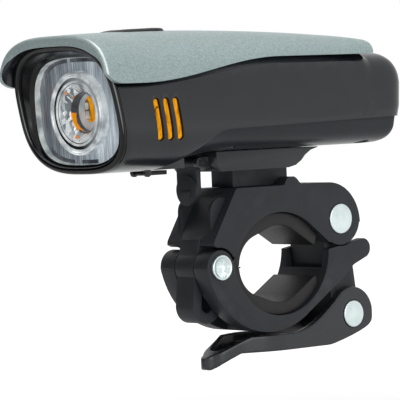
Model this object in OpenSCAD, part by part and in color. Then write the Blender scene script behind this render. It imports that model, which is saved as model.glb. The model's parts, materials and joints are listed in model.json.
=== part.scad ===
// Clip-on bicycle headlight with a quick-release handlebar clamp.
// Origin: centre of the handlebar in the closed clamp.
// +X is the way the beam points, +Y the lamp's left side, +Z up. Millimetres.

/* [Handlebar clamp] */
// Diameter of the handlebar that the closed pads hold
bar_d = 22.2; // [21:0.2:24]
// Width of the clamp along the handlebar
clamp_w = 20.6; // [19:0.2:24]
// Thickness of a rubber pad at its crown
pad_t = 3.8; // [3:0.1:4.4]
// How far a pad's end lies inside the jaw's side face
pad_inset = 1.2; // [0.4:0.1:2]
// Radius of the round seat in each jaw
seat_r = 18.6; // [18:0.1:19.4]
// Height of the clamp's top face over the bar's centre
jaw_top = 22.6; // [21.5:0.1:24]
// Thickness of the cheeks beside the link
cheek_t = 2.4; // [2:0.1:3]
// Thickness of the lower jaw under the seat, at its front
jaw_t = 6.2; // [5.6:0.1:7]
// Radius of the lower jaw's hinge knuckles
knuckle_r = 4.9; // [4.5:0.1:5.1]
// Radius of the cheeks round the link's pin
lobe_r = 7.7; // [7.4:0.1:8.4]
// Width of the strap between the knuckles
strap_w = 7.9; // [7:0.1:9]
// Diameter of the three clamp pins
pin_d = 4.4; // [3.6:0.1:5]
// Half the width of the link, seen from the side
link_r = 5.2; // [4.6:0.1:5.4]

/* [Cam lever] */
// Radius of the lever's head round its pin
cam_r = 8; // [7.5:0.1:8.4]
// Length from the lever's pin to the tip of its finger tab
lever_l = 50.5; // [46:0.5:56]
// Depth of the lever's arm
lever_t = 4.8; // [4:0.1:5.6]
// Thickness of the lever's web under the hollow
lever_web = 1.8; // [1.4:0.1:2.4]

/* [Rail and latch] */
// Height of the neck between the clamp and the lamp's shoe
neck_h = 5; // [4.5:0.1:7]
// Width of the neck
neck_w = 9.4; // [8:0.2:11]
// Length of the neck along the beam
neck_l = 21.2; // [18:0.2:22]
// Width of the rail's head
rail_w = 14.2; // [13:0.2:15]
// Thickness of the rail's head
rail_t = 2; // [1.6:0.1:2.2]
// Height of the shoe under the lamp
shoe_h = 5.7; // [5.6:0.1:7]
// Width of the shoe
shoe_w = 20; // [19:0.2:24]
// Length of the release tongue below its pin
tongue_l = 12.2; // [10:0.1:12.8]
// Width of the release tongue
tongue_w = 8.8; // [7:0.2:9.4]
// Thickness of the release tongue
tongue_t = 1.5; // [1.2:0.1:2]

/* [Lamp body] */
// Length of the lamp from its rear end to the bezel's rim
lamp_l = 110; // [106:0.5:118]
// Distance of the bezel's rim ahead of the bar's centre
lamp_ahead = 68.2; // [66:0.1:72]
// Width of the lamp at the bezel
lamp_w = 45; // [44:0.2:48]
// Width of the lamp at its rear
rear_w = 42.8; // [42:0.2:45]
// Depth of the belly under the housing's ledge
belly_h = 6.8; // [6.4:0.1:8]
// How far the belly is stepped in under the ledge
belly_in = 1.6; // [1.2:0.1:1.9]
// Height of the lamp's axis over the ledge
axis_up = 6.4; // [6:0.1:7.4]
// Depth of the lamp under its axis at the bezel
front_down = 17.6; // [17.2:0.1:18.4]
// Thickness of the housing's wall
wall = 2.2; // [1.9:0.1:2.4]
// Backward lean of the front, in degrees
rake = 12; // [10:0.5:12.5]

/* [Cover and visor] */
// Height of the cover's crest over the lamp's axis
cover_up = 21.6; // [21:0.1:23]
// Drop of the cover from its crest to its rear end
cover_drop = 3.4; // [2.4:0.1:4]
// How far the cover stands out past each side of the lamp, at the visor
cover_over = 2.2; // [2:0.1:3]
// Thickness of the cover on its crest
cover_t = 2.2; // [1.8:0.1:2.6]
// Overhang of the visor past the bezel's rim
visor_l = 5; // [3:0.1:7]
// Length of the bare housing behind the cover
cover_back = 12.5; // [10:0.5:16]

/* [Front optics] */
// Depth of the window behind the bezel's rim, at the lamp's axis
bezel_d = 4.2; // [4.2:0.1:4.8]
// Backward lean of the window, in degrees
lens_rake = 3; // [0:0.5:5]
// Width of the bezel's black frame round the window
bezel_lip = 3.4; // [3:0.1:3.8]
// Thickness of the window
lens_t = 2; // [1.6:0.1:2.4]
// Diameter of the round collimator
optic_d = 23.6; // [20:0.2:24]
// How far the collimator stands out of the window's plane
optic_out = 1.2; // [0.6:0.1:1.4]
// How far the collimator sits below the window's middle
optic_low = 0.7; // [0:0.1:1.2]
// Depth of the collimator
optic_h = 12; // [10:0.5:13]
// Diameter of the battery cell
cell_d = 18.4; // [18:0.1:18.6]
// Length of the battery cell
cell_l = 65; // [60:0.5:66]

/* [Controls] */
// Length of the power button
button_l = 20.5; // [16:0.5:24]
// Width of the power button
button_w = 10; // [8:0.5:11]
// Height of the button over the cover
button_up = 0.8; // [0.6:0.1:1.4]
// Travel of the button
button_travel = 0.8; // [0.6:0.1:1]
// Height of the side slots
slot_h = 11.6; // [9:0.2:13]
// Width of a side slot
slot_w = 1.7; // [1.2:0.1:2]
// Distance between the side slots
slot_pitch = 3.5; // [3.2:0.1:4]
// Length of the charging flap
flap_l = 9; // [8.6:0.2:11]
// Width of the charging flap
flap_w = 4; // [3.6:0.1:5]
// Thickness of the charging flap
flap_t = 1.2; // [1:0.1:1.6]

/* [Hidden] */
$fn = 64;

// Clearances
seam = 0.1;
slide_gap = 0.35;
run_gap = 0.05;
big = 200;

// Clamp pins in the side view, as [x, z]
pin_c = [seat_r + 5.1, 0.5];
pin_a = [-seat_r - 5.2, jaw_top - 11];
pin_b = pin_a + [-3.7, -28.3];
half_w = clamp_w/2;
bar_r = bar_d/2;
seat_drop = seat_r - bar_r - pad_t;
link_half = half_w - cheek_t - slide_gap;
strap_half = strap_w/2;
head_t = 1;
head_sunk = 0.7;
head_r_a = 4.4;
head_r_b = 3.9;
head_r_c = 3.6;
lobe_gap = 0.4;
knuckle_gap = 0.8;
hump_r = 12.3;
hump = [pin_a[0] + 4.4, jaw_top - 0.1 - hump_r];
jaw_front = pin_c + [1.9, 7.5];
jaw_brow = [16.9, jaw_top - 0.6];
hook_c = pin_c + [0.2, -11.1];
hook_r = 5;
hook_t = 3;
ring_r = seat_r + jaw_t;
ring_c = [pin_c[0] + knuckle_r + 0.6 - ring_r, 5.5];
ring_end = -9.4;
ring_end_z = ring_c[1] - sqrt(ring_r*ring_r - pow(ring_c[0] - ring_end, 2));
nose_c = pin_a + [-8.7, -9.2];
nose_r = 2.9;
link_turn = atan2(pin_b[1] - pin_a[1], pin_b[0] - pin_a[0]);
link_swing = 110;

// Lamp stack, from the clamp's top up
rear_x = lamp_ahead - lamp_l;
shoe_z = jaw_top + neck_h;
belly_z = shoe_z + shoe_h;
ledge_z = belly_z + belly_h;
axis_z = ledge_z + axis_up;
ledge_rise = 1.5;
cover_rear = rear_x + cover_back;
crest_x = lamp_ahead - 30;
visor_x = lamp_ahead + visor_l;
lean = tan(rake);
rear_down = axis_z - belly_z + belly_in;
rear_up = 14;
end_r = 6;
ring_n = 40;

// Shape of the lamp's tube at station x: width, depth, height and squareness
function along(x) = min(1, max(0, (x - rear_x)/lamp_l));
function mix(a, b, t) = a + (b - a)*t;
function smooth(t) = let (c = min(1, max(0, t))) c*c*(3 - 2*c);
function end_in(x) = let (d = min(end_r, max(0, x - rear_x))) end_r - sqrt(end_r*end_r - pow(end_r - d, 2));
function cover_z(x) = axis_z + cover_up - cover_drop*pow((x - crest_x)/(crest_x - cover_rear), 2);
function tube_half(x) = mix(rear_w, lamp_w, along(x))/2;
function tube_down(x) = mix(rear_down, front_down, smooth((x - lamp_ahead + 44)/22));
function tube_up(x) =
    mix(rear_up, cover_z(max(x, cover_rear)) - cover_t - seam - axis_z, smooth((x - cover_rear - 0.5)/4));
function tube_square(x) = mix(4.5, 2.9, smooth(along(x)*1.25 - 0.25));
function tube_lean(x) = lean*smooth((x - lamp_ahead + 40)/30);

// One point of a superellipse at angle t, with half width a and heights up and down
function se(t, a, up, down, n) =
    let (c = cos(t), s = sin(t))
    [a*sign(c)*pow(abs(c), 2/n), (s > 0 ? up : down)*sign(s)*pow(abs(s), 2/n)];

// A ring of the tube at station x, drawn in by inset
function tube_ring(x, inset) =
    let (e = end_in(x) + inset)
    [for (i = [0 : ring_n - 1])
        let (p = se(i*360/ring_n, tube_half(x) - e, tube_up(x) - e, tube_down(x) - e, tube_square(x)))
        [x + tube_lean(x)*p[1], p[0], axis_z + p[1]]];

// A closed solid through rings that have the same number of points
module loft(rings) {
    n = len(rings[0]);
    m = len(rings);
    sides = [for (k = [0 : m - 2], i = [0 : n - 1]) let (j = (i + 1) % n)
        each [[k*n + i, (k + 1)*n + i, k*n + j], [k*n + j, (k + 1)*n + i, (k + 1)*n + j]]];
    caps = [[for (i = [0 : n - 1]) i], [for (i = [n - 1 : -1 : 0]) (m - 1)*n + i]];
    polyhedron([for (r = rings) each r], concat(sides, caps));
}

// The lamp's tube between two stations
module tube(x0, x1, inset) {
    ends = [for (d = [0, 0.4, 1.4, 3, end_r]) rear_x + d];
    mids = [for (t = [1 : 9]) mix(rear_x + end_r, lamp_ahead, t/10)];
    steps = [for (d = [1, 3, 5]) cover_rear + d];
    inner = [for (x = concat(ends, steps, mids)) if (x > x0 + 0.5 && x < x1 - 0.5) x];
    loft([for (x = concat([x0], quicksort(inner), [x1])) tube_ring(x, inset)]);
}

function quicksort(v) = len(v) < 2 ? v : let (p = v[0])
    concat(
        quicksort([for (i = [1 : len(v) - 1]) if (v[i] < p) v[i]]),
        [p],
        quicksort([for (i = [1 : len(v) - 1]) if (v[i] >= p) v[i]]));

// Draws a side view, given in X and Z, as a solid from y0 to y1
module side(y0, y1) {
    translate([0, y1, 0]) rotate([90, 0, 0]) linear_extrude(y1 - y0) children();
}

// A round bar across the clamp
module cross(p, r, y0, y1) {
    translate([p[0], y1, p[1]]) rotate([90, 0, 0]) cylinder(r = r, h = y1 - y0);
}

// The window's own frame: local +Z is the beam, the origin is on the window's plane
lens_x = lamp_ahead - bezel_d;
lens_z = axis_z - 0.1;
module beam(depth) {
    translate([lens_x, 0, lens_z]) rotate([0, 90 + lens_rake, 0]) translate([0, 0, -depth]) children();
}

// The collimator's axis, in the window's frame
module optic_axis(depth) {
    beam(depth) translate([optic_low, 0, 0]) children();
}

// Outline of the window, drawn in by inset from the lamp's outside
window_n = 2.85;
function window(inset) = [for (i = [0 : ring_n - 1])
    let (p = se(i*360/ring_n, lamp_w/2 - inset, front_down + 0.5 - inset, front_down - 0.1 - inset, window_n))
    [-p[1], p[0]]];

// The same outline as a ring in the lamp, at a depth behind the window's plane
function window_ring(depth, inset) =
    [for (p = window(inset)) [lens_x - depth - tan(lens_rake)*p[0], p[1], lens_z - p[0]]];

// Side view of the space under the housing's ledge, grown by g
module ledge_view(g) {
    x0 = rear_x - 20;
    polygon([
        [x0, ledge_z + ledge_rise + g], [lamp_ahead - 41, ledge_z - 0.4 + g], [lamp_ahead - 38, ledge_z - 0.7 + g],
        [lamp_ahead - 35, ledge_z - 2.1 + g], [lamp_ahead - 22 + g, belly_z - 3.6], [lamp_ahead - 22 + g, belly_z - 20],
        [x0, belly_z - 20]]);
}

// Lamp: housing
rail_x = [-2, lamp_ahead - 22];
rail_y = [12.5, tube_half(0) - 2.2];
board_z = axis_z + cell_d/2 + 2;
boss_r = 2.5;
boss_at = [[rear_x + 11, 13], [lamp_ahead - 46, 13]];
boss_top = 8;
screw_r = 1.2;
screw_head_r = 2.1;
screw_head_t = 1.6;
screw_recess = 2.4;
button_x = lamp_ahead - 24;
slot_x = lamp_ahead - 17.8;
slot_z = axis_z - 3.2;
port_x = lamp_ahead - 29.7;
port_w = 7.4;
port_d = 2.5;
pod_w = 13;
pod_z = axis_z - front_down + 0.2;
rim_x = lamp_ahead - 1.3;

module slot_views(w, h) {
    for (i = [-1 : 1])
        translate([slot_x + i*slot_pitch, slot_z]) rotate(-11) {
            square([w, h - w], center = true);
            for (s = [-1, 1]) translate([0, s*(h - w)/2]) circle(d = w);
        }
}

module housing() {
    color([0.26, 0.27, 0.28]) difference() {
        union() {
            difference() {
                tube(rear_x, rim_x - seam, 0);
                tube(rear_x + wall, rim_x + 5, wall);
                side(-big/2, big/2) ledge_view(0);
            }
            pod();
            for (s = [-1, 1]) {
                translate([rail_x[0], s > 0 ? rail_y[0] : -rail_y[1], board_z - 1.5])
                    cube([rail_x[1] - rail_x[0], rail_y[1] - rail_y[0], 1.5]);
                for (b = boss_at) {
                    z = ledge_z + ledge_rise;
                    translate([b[0], s*b[1], z]) cylinder(r = boss_r, h = boss_top);
                    translate([b[0] - 1, s > 0 ? b[1] : -tube_half(b[0]) + 1, z])
                        cube([2, tube_half(b[0]) - 1 - b[1], boss_top]);
                }
            }
        }
        side(-big/2, big/2) slot_views(slot_w, slot_h);
        for (s = [-1, 1], b = boss_at)
            translate([b[0], s*b[1], ledge_z - 2]) cylinder(r = screw_r + run_gap, h = boss_top);
        translate([button_x, 0, axis_z + 10]) cylinder(r = stem_r + slide_gap, h = 20);
        translate([port_x - port_w/2 - seam, -port_d/2 - seam, pod_z - 5])
            cube([port_w + 2*seam, port_d + 2*seam, 25]);
    }
}

// The thick part of the housing's floor round the charging port, with the flap's lugs
module pod() {
    lug_y = flap_w/2 + slide_gap;
    difference() {
        union() {
            translate([port_x - 6.5, -pod_w/2, pod_z]) cube([16, pod_w, 6]);
            for (s = [-1, 1]) side(min(s*lug_y, s*(lug_y + 1.2)), max(s*lug_y, s*(lug_y + 1.2))) {
                translate(flap_pin) circle(1);
                translate([flap_pin[0] - 1, flap_pin[1]]) square([2, pod_z - flap_pin[1] + 1]);
            }
        }
        cross(flap_pin, flap_pin_r + run_gap, -big/2, big/2);
    }
}

// Lamp: cover with the visor
edge_front = axis_z + 6.9;
edge_rear = axis_z + 13.1;
edge_corner = 6;
cover_n = 24;
cover_zc = axis_z + 3.2;
function cover_half(x) =
    mix(rear_w/2 + 1.2, lamp_w/2 + cover_over, smooth((x - cover_rear)/(visor_x - cover_rear)));
function cover_square(x) = mix(4, 2.3, smooth((x - cover_rear)/60));
function cover_edge(x) =
    let (d = max(0, x - visor_x + edge_corner)/edge_corner)
    mix(edge_rear, edge_front, smooth((x - 8)/52)) + 4*(1 - sqrt(1 - min(1, d*d)));
function cover_pull(x) = 3*(1 - sqrt(1 - pow(1 - min(1, (x - cover_rear)/3), 2)));

// An arc of the cover's cut at station x, drawn in by inset, from edge to edge
function cover_arc(x, inset) =
    let (
        up = cover_z(x) - cover_zc - cover_pull(x)*0.6 - inset,
        a = cover_half(x) - cover_pull(x) - inset,
        n = cover_square(x),
        t0 = asin(pow((cover_edge(x) - cover_zc)/up, n/2)))
    [for (i = [0 : cover_n]) let (p = se(mix(t0, 180 - t0, i/cover_n), a, up, up, n)) [x, p[0], cover_zc + p[1]]];

// A bent sheet between outer and inner arcs at each station
module sheet(outer, inner) {
    m = len(outer);
    k = len(outer[0]);
    n = 2*k;
    rings = [for (r = [0 : m - 1]) concat(outer[r], [for (i = [k - 1 : -1 : 0]) inner[r][i]])];
    sides = [for (r = [0 : m - 2], i = [0 : n - 1]) let (j = (i + 1) % n)
        each [[r*n + i, (r + 1)*n + i, r*n + j], [r*n + j, (r + 1)*n + i, (r + 1)*n + j]]];
    first = [for (i = [0 : k - 2]) each [[i, i + 1, n - 1 - i], [i + 1, n - 2 - i, n - 1 - i]]];
    last = [for (f = first) [for (i = [2 : -1 : 0]) (m - 1)*n + f[i]]];
    polyhedron([for (r = rings) each r], concat(sides, first, last));
}

module top_cover() {
    stations = [for (i = [0 : 14]) mix(cover_rear, visor_x - edge_corner, i/14)];
    ends = [for (d = [0.3, 1, 2]) cover_rear + d];
    tips = [for (i = [1 : 6]) visor_x - edge_corner*(1 - i/6)];
    cuts = quicksort(concat(stations, ends, tips));
    color([0.66, 0.72, 0.72]) difference() {
        sheet([for (x = cuts) cover_arc(x, 0)], [for (x = cuts) cover_arc(x, cover_t)]);
        tube(rear_x, lamp_ahead + 12, -seam);
        translate([button_x, 0, axis_z]) linear_extrude(big) button_view(slide_gap);
    }
}

// Lamp: front
gasket_t = 0.6;
lens_in = wall + 0.4;
frame_d = 2*seam + gasket_t + lens_t;
frame_t = 1.6;

module front_bezel() {
    rim_in = 1.7;
    color([0.12, 0.12, 0.125]) difference() {
        loft([
            window_ring(0, bezel_lip - 0.9), tube_ring(rim_x, wall + seam), tube_ring(rim_x, 0),
            tube_ring(lamp_ahead - 0.4, 0), tube_ring(lamp_ahead, 0.6)]);
        loft([
            window_ring(1, bezel_lip), window_ring(0, bezel_lip), tube_ring(lamp_ahead, rim_in),
            tube_ring(lamp_ahead + 1, rim_in)]);
    }
}

module plate_on(depth, t, inset) {
    beam(depth + t) linear_extrude(t) polygon(window(inset));
}

module lens_gasket() {
    color([0.1, 0.1, 0.1]) difference() {
        plate_on(seam, gasket_t, lens_in);
        plate_on(seam - 1, gasket_t + 2, bezel_lip + 0.1);
    }
}

module front_lens() {
    color([0.85, 0.9, 0.92, 0.5]) difference() {
        plate_on(seam + gasket_t, lens_t, lens_in);
        optic_axis(frame_d + 1) cylinder(d = optic_d + 2*seam, h = lens_t + 3);
    }
}

module optic_frame() {
    color([0.75, 0.77, 0.78]) difference() {
        plate_on(frame_d, frame_t, lens_in);
        optic_axis(frame_d + frame_t + 1) cylinder(d = optic_d + 2*seam, h = frame_t + 2);
    }
}

module collimator() {
    pocket_r = 4.6;
    rim_foot = optic_h - optic_out - frame_d;
    color([0.9, 0.93, 0.95, 0.6]) optic_axis(optic_h - optic_out) rotate_extrude()
        polygon([
            [0, 4.5], [pocket_r - 0.6, 4], [pocket_r - 0.6, 0], [pocket_r, 0], [7.4, 0.45*rim_foot],
            [9.6, 0.78*rim_foot], [optic_d/2, rim_foot], [optic_d/2, optic_h], [6.6, optic_h], [5.6, optic_h - 3],
            [5.2, optic_h - 5], [0, optic_h - 5]]);
}

board_d = optic_h - optic_out + seam;
board_r = 10.5;
board_t = 1.6;

module led_board() {
    color([0.85, 0.85, 0.82]) optic_axis(board_d + board_t) cylinder(r = board_r, h = board_t);
}

module led_emitter() {
    color([1, 0.62, 0.1]) optic_axis(board_d - seam) {
        linear_extrude(0.8) square(5, center = true);
        for (s = [-1, 1]) translate([s*1.1, 0, 0.8]) linear_extrude(0.5) square(1.6, center = true);
    }
}

module heat_sink() {
    fin_h = 4;
    color([0.7, 0.72, 0.74]) optic_axis(board_d + board_t + seam + 2) {
        linear_extrude(2) square([20, 24], center = true);
        for (i = [-3 : 3]) translate([-2, i*3.6, -fin_h/2]) cube([15, 1.4, fin_h], center = true);
    }
}

// Lamp: amber guides behind the side slots
module light_guide(s) {
    plate_y = tube_half(slot_x) - wall - 1.7;
    color([1, 0.63, 0]) mirror([0, s > 0 ? 0 : 1, 0]) {
        intersection() {
            side(plate_y - 0.5, tube_half(slot_x)) slot_views(slot_w - 2*seam, slot_h - 2*seam);
            tube(slot_x - 8, slot_x + 8, 0.5);
        }
        translate([slot_x - slot_pitch*1.7, plate_y - 1.4, slot_z - slot_h/2])
            cube([slot_pitch*3.4, 1.4, slot_h]);
    }
}

module light_guide_left() {
    light_guide(1);
}

module light_guide_right() {
    light_guide(-1);
}

// Lamp: power and electronics
cell_x = rear_x + wall + 2.4;

module battery_cell() {
    color([0.2, 0.45, 0.7]) translate([cell_x, 0, axis_z]) rotate([0, 90, 0]) {
        cylinder(d = cell_d, h = cell_l);
        translate([0, 0, cell_l]) cylinder(r = 4, h = 1);
    }
}

module battery_contacts() {
    strip = [0.3, 7, 9];
    color([0.8, 0.78, 0.72])
        for (x = [cell_x - strip[0], cell_x + cell_l + 1])
            translate([x, -strip[1]/2, axis_z - strip[2]/2]) cube(strip);
}

board_w = 29;
pcb_t = 1.6;
switch_h = 3.4;
stem_r = 1.8;
switch_top = board_z + pcb_t + switch_h;

module main_board() {
    color([0.1, 0.35, 0.2])
        translate([rail_x[0], -board_w/2, board_z]) cube([rail_x[1] - rail_x[0] + 1.2, board_w, pcb_t]);
}

module tact_switch() {
    color([0.2, 0.2, 0.2]) translate([button_x - 3, -3, board_z + pcb_t]) {
        cube([6, 6, switch_h - 0.8]);
        translate([3, 3, 0]) cylinder(r = 1.7, h = switch_h);
    }
}

// The charging socket stands on the pod and ends under the cell, with its board between them
charge_t = 1.2;
cell_gap = 0.4;
port_z = pod_z + 0.3;
port_h = axis_z - cell_d/2 - cell_gap - charge_t - port_z;

module charge_board() {
    color([0.1, 0.35, 0.2]) translate([port_x - 5.5, -8, port_z + port_h]) cube([10.5, 16, charge_t]);
}

module usb_socket() {
    shell_t = 0.4;
    color([0.75, 0.75, 0.76]) translate([port_x - port_w/2, -port_d/2, port_z]) difference() {
        cube([port_w, port_d, port_h]);
        translate([shell_t, shell_t, -1]) cube([port_w - 2*shell_t, port_d - 2*shell_t, port_h - 1]);
    }
}

flap_z = pod_z - flap_t - slide_gap;
flap_pin = [port_x + flap_l/2, flap_z + flap_t/2];
flap_pin_r = 0.5;

module usb_cover() {
    color([0.13, 0.13, 0.135]) {
        translate([0, 0, flap_z]) linear_extrude(flap_t) {
            translate([port_x - flap_l/2 + flap_w/2, 0]) circle(d = flap_w);
            translate([port_x - flap_l/2 + flap_w/2, -flap_w/2]) square([flap_l - flap_w/2, flap_w]);
        }
        cross(flap_pin, flap_t/2, -flap_w/2, flap_w/2);
        cross(flap_pin, flap_pin_r, -flap_w/2 - 1.4, flap_w/2 + 1.4);
    }
}

// Lamp: belly, shoe and screws
saddle_x = [rear_x + 20, lamp_ahead - 56];
saddle_t = 3;
belly_wall = 1.8;

module belly_shell() {
    color([0.25, 0.26, 0.27]) difference() {
        union() {
            intersection() {
                difference() {
                    tube(rear_x + belly_in, rim_x, belly_in);
                    tube(rear_x + belly_in + belly_wall, rim_x + 5, belly_in + belly_wall);
                }
                side(-big/2, big/2) ledge_view(-seam);
            }
            intersection() {
                tube(rear_x + belly_in, rim_x, belly_in + 0.1);
                side(-big/2, big/2) ledge_view(-seam);
                union() {
                    for (x = saddle_x)
                        translate([x, -11, belly_z]) cube([saddle_t, 22, axis_z - belly_z]);
                    for (s = [-1, 1], b = boss_at)
                        translate([b[0], s*b[1], belly_z - 2]) cylinder(r = boss_r + 0.6, h = big);
                }
            }
        }
        translate([cell_x - 0.6, 0, axis_z]) rotate([0, 90, 0]) cylinder(d = cell_d + 2*seam, h = lamp_l);
        for (s = [-1, 1], b = boss_at) translate([b[0], s*b[1], 0]) {
            cylinder(r = screw_r + 0.15, h = ledge_z + 5);
            cylinder(r = screw_head_r + 2*seam, h = belly_z + screw_recess);
        }
        for (x = shoe_screw_x) translate([x, 0, belly_z - 5]) cylinder(r = screw_r + run_gap, h = 9);
        translate([port_x - 6.5 - seam, -pod_w/2 - seam, pod_z - 20]) cube([30, pod_w + 2*seam, 20 + 6 + seam]);
    }
}

shoe_back = -16;
shoe_front = lamp_ahead - 44.9;
neck_x0 = -8.4;
neck_x1 = neck_x0 + neck_l;
shoe_screw_x = [neck_x1 + 4, shoe_back + 3];
rail_z = shoe_z + 1.3;
tongue_pin_at = [shoe_front + 2.6, shoe_z + 2.7];
lug_t = 1.4;
shoe_head_t = 1;
shoe_head_in = 0.95;

module shoe_view() {
    polygon([
        [shoe_front, belly_z - seam], [shoe_front - 0.4, shoe_z + 1.8], [shoe_front - 1.9, shoe_z], [-4.4, shoe_z],
        [-7.2, shoe_z + 0.6], [-9.4, shoe_z + 1.9], [-11, shoe_z + 3.4], [-13.2, belly_z - 1],
        [shoe_back, belly_z - seam - 0.2], [shoe_back, belly_z - seam]]);
}

module mount_shoe() {
    lug_y = tongue_w/2 + slide_gap;
    color([0.24, 0.25, 0.26]) difference() {
        union() {
            side(-shoe_w/2, shoe_w/2) shoe_view();
            for (s = [-1, 1]) side(min(s*lug_y, s*(lug_y + lug_t)), max(s*lug_y, s*(lug_y + lug_t))) {
                translate(tongue_pin_at) circle(1.6);
                translate([shoe_front - 3, tongue_pin_at[1] - 1.6]) square([tongue_pin_at[0] - shoe_front + 3, 3.2]);
            }
        }
        translate([shoe_back - 5, -neck_w/2 - slide_gap, shoe_z - 1])
            cube([neck_x1 + slide_gap - shoe_back + 5, neck_w + 2*slide_gap, 4]);
        translate([shoe_back - 5, -rail_w/2 - slide_gap, rail_z - slide_gap])
            cube([neck_x1 + slide_gap - shoe_back + 5, rail_w + 2*slide_gap, rail_t + 2*slide_gap]);
        for (x = shoe_screw_x) translate([x, 0, shoe_z - 2]) {
            cylinder(r = screw_r + run_gap, h = 20);
            cylinder(r = 2.2, h = belly_z - shoe_head_in - shoe_z + 2);
        }
        cross(tongue_pin_at, 0.6, -big/2, big/2);
    }
}

module shell_screws() {
    color([0.6, 0.6, 0.6]) for (s = [-1, 1], b = boss_at) translate([b[0], s*b[1], belly_z + screw_recess]) {
        cylinder(r = screw_r, h = belly_h + screw_recess);
        translate([0, 0, -screw_head_t]) cylinder(r = screw_head_r, h = screw_head_t);
    }
}

module shoe_screws() {
    color([0.6, 0.6, 0.6]) for (x = shoe_screw_x) translate([x, 0, belly_z - shoe_head_in]) {
        cylinder(r = screw_r, h = 3.6);
        translate([0, 0, -shoe_head_t]) cylinder(r = 2, h = shoe_head_t);
    }
}

// Lamp: button, tongue
module button_view(g) {
    d = button_w + 2*g;
    square([button_l - button_w, d], center = true);
    for (s = [-1, 1]) translate([s*(button_l - button_w)/2, 0]) circle(d = d);
}

module power_button() {
    top = cover_z(button_x) + button_up;
    under = axis_z + tube_up(button_x) + button_travel + 0.4;
    color([0.12, 0.12, 0.13]) translate([button_x, 0, 0]) {
        translate([0, 0, under]) linear_extrude(top - under) button_view(0);
        translate([0, 0, switch_top + button_travel + 0.3]) cylinder(r = stem_r, h = under - switch_top);
    }
}

module release_tongue() {
    x = tongue_pin_at[0];
    z = tongue_pin_at[1];
    barrel_r = 1.3;
    round_r = tongue_w/2;
    pad = [0.5, 3.2, 1.8];
    color([0.17, 0.17, 0.18]) difference() {
        union() {
            cross(tongue_pin_at, barrel_r, -tongue_w/2, tongue_w/2);
            translate([x - barrel_r, -tongue_w/2, z - tongue_l + round_r]) cube([tongue_t, tongue_w, tongue_l - round_r]);
            translate([x - barrel_r, 0, z - tongue_l + round_r]) rotate([0, 90, 0]) cylinder(r = round_r, h = tongue_t + 0.4);
            translate([x - barrel_r + tongue_t - 0.1, -pad[1]/2, z - tongue_l + 2.4]) cube([pad[0] + 0.5, pad[1], pad[2]]);
        }
        cross(tongue_pin_at, 0.6 + run_gap, -big/2, big/2);
    }
}

module tongue_pin() {
    half = tongue_w/2 + slide_gap + lug_t;
    color([0.75, 0.76, 0.77]) cross(tongue_pin_at, 0.6, -half, half);
}

// Clamp: rail on its neck
base_screw_x = (neck_x0 + neck_x1)/2;

module rail_base() {
    color([0.16, 0.16, 0.17]) difference() {
        union() {
            translate([neck_x0, -neck_w/2, jaw_top + seam]) cube([neck_l, neck_w, rail_z - jaw_top - seam + 0.5]);
            translate([neck_x0, -rail_w/2, rail_z]) cube([neck_l, rail_w, rail_t]);
        }
        translate([base_screw_x, 0, jaw_top - 1]) cylinder(r = screw_r + 0.15, h = big);
        translate([base_screw_x, 0, rail_z + rail_t - 1.6]) cylinder(r = 2.4, h = big);
    }
}

module base_screw() {
    under = rail_z + rail_t - 1.6 + run_gap;
    color([0.6, 0.6, 0.6]) translate([base_screw_x, 0, under]) {
        translate([0, 0, jaw_top - 5 - under]) cylinder(r = screw_r, h = under - jaw_top + 5);
        cylinder(r = 2.2, h = 1.5);
    }
}

// Clamp: jaws
module seat_view(up) {
    translate([0, up ? -seat_drop : seat_drop]) circle(seat_r, $fn = 128);
}

// Straight way out of the upper seat at the rear, where the pad stands free
module seat_flare() {
    flare = 38;
    start = [-seat_r*sin(flare), seat_r*cos(flare) - seat_drop];
    polygon([start, start - 11*[cos(flare), sin(flare)], [-15, -5], [0, -5]]);
}

module upper_view() {
    difference() {
        union() {
            polygon([
                [jaw_front[0] + 0.2, jaw_front[1] - 1.2], jaw_front, jaw_brow, [jaw_brow[0] - 0.7, jaw_top],
                [hump[0], jaw_top - 0.1], pin_a, [-18, 3], [18, 3]]);
            intersection() {
                translate(hump) circle(hump_r, $fn = 128);
                translate([-60, hump[1]]) square([80, 40]);
            }
            translate(pin_a) circle(lobe_r);
        }
        seat_view(true);
        seat_flare();
        translate(pin_c) circle(knuckle_r + knuckle_gap);
    }
}

module strap_view() {
    difference() {
        union() {
            translate(pin_c) circle(knuckle_r);
            polygon([
                [jaw_front[0] - 7, jaw_front[1] + 1], [jaw_front[0] + 0.3, jaw_front[1] + 0.4], pin_c + [3.6, 1.8],
                [hook_c[0] + hook_r - 0.4, hook_c[1] + 4], [hook_c[0] + hook_r, hook_c[1]],
                [hook_c[0] + hook_r - hook_t, hook_c[1]], pin_c + [1.5, -4.5], pin_c + [-4.1, 1.5]]);
            translate(hook_c) intersection() {
                circle(hook_r);
                polygon([[0, 0], [big, 0], [big, -big], [-big, -big], [-big, -big*0.6]]);
            }
        }
        translate(hook_c) circle(hook_r - hook_t);
        translate(pin_c) circle(pin_d/2 + run_gap);
    }
}

// Space that the link needs between closed and fully swung out
module link_sweep() {
    w = link_r + lobe_gap;
    closed = link_turn;
    opened = link_turn - link_swing - 2;
    translate(pin_a) {
        circle(w);
        polygon([
            w*[-sin(closed), cos(closed)], w*[-sin(closed), cos(closed)] + 40*[cos(closed), sin(closed)],
            [-60, -40], [-60, 20], w*[sin(opened), -cos(opened)] + 40*[cos(opened), sin(opened)],
            w*[sin(opened), -cos(opened)]]);
    }
}

// One of the two fins that stand on the jaw's sloped front, with a round upper corner
module fin_view() {
    fin_r = 4;
    fin_x = jaw_front[0] - 1.7;
    corner = [fin_x - fin_r, jaw_top - 6.4];
    polygon(concat([[fin_x - 8, jaw_front[1] + 2], [fin_x + 0.1, jaw_front[1] + 2]],
        [for (a = [0 : 12 : 84]) corner + fin_r*[cos(a), sin(a)]], [[jaw_brow[0] - 2, jaw_top - 3]]));
}

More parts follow.
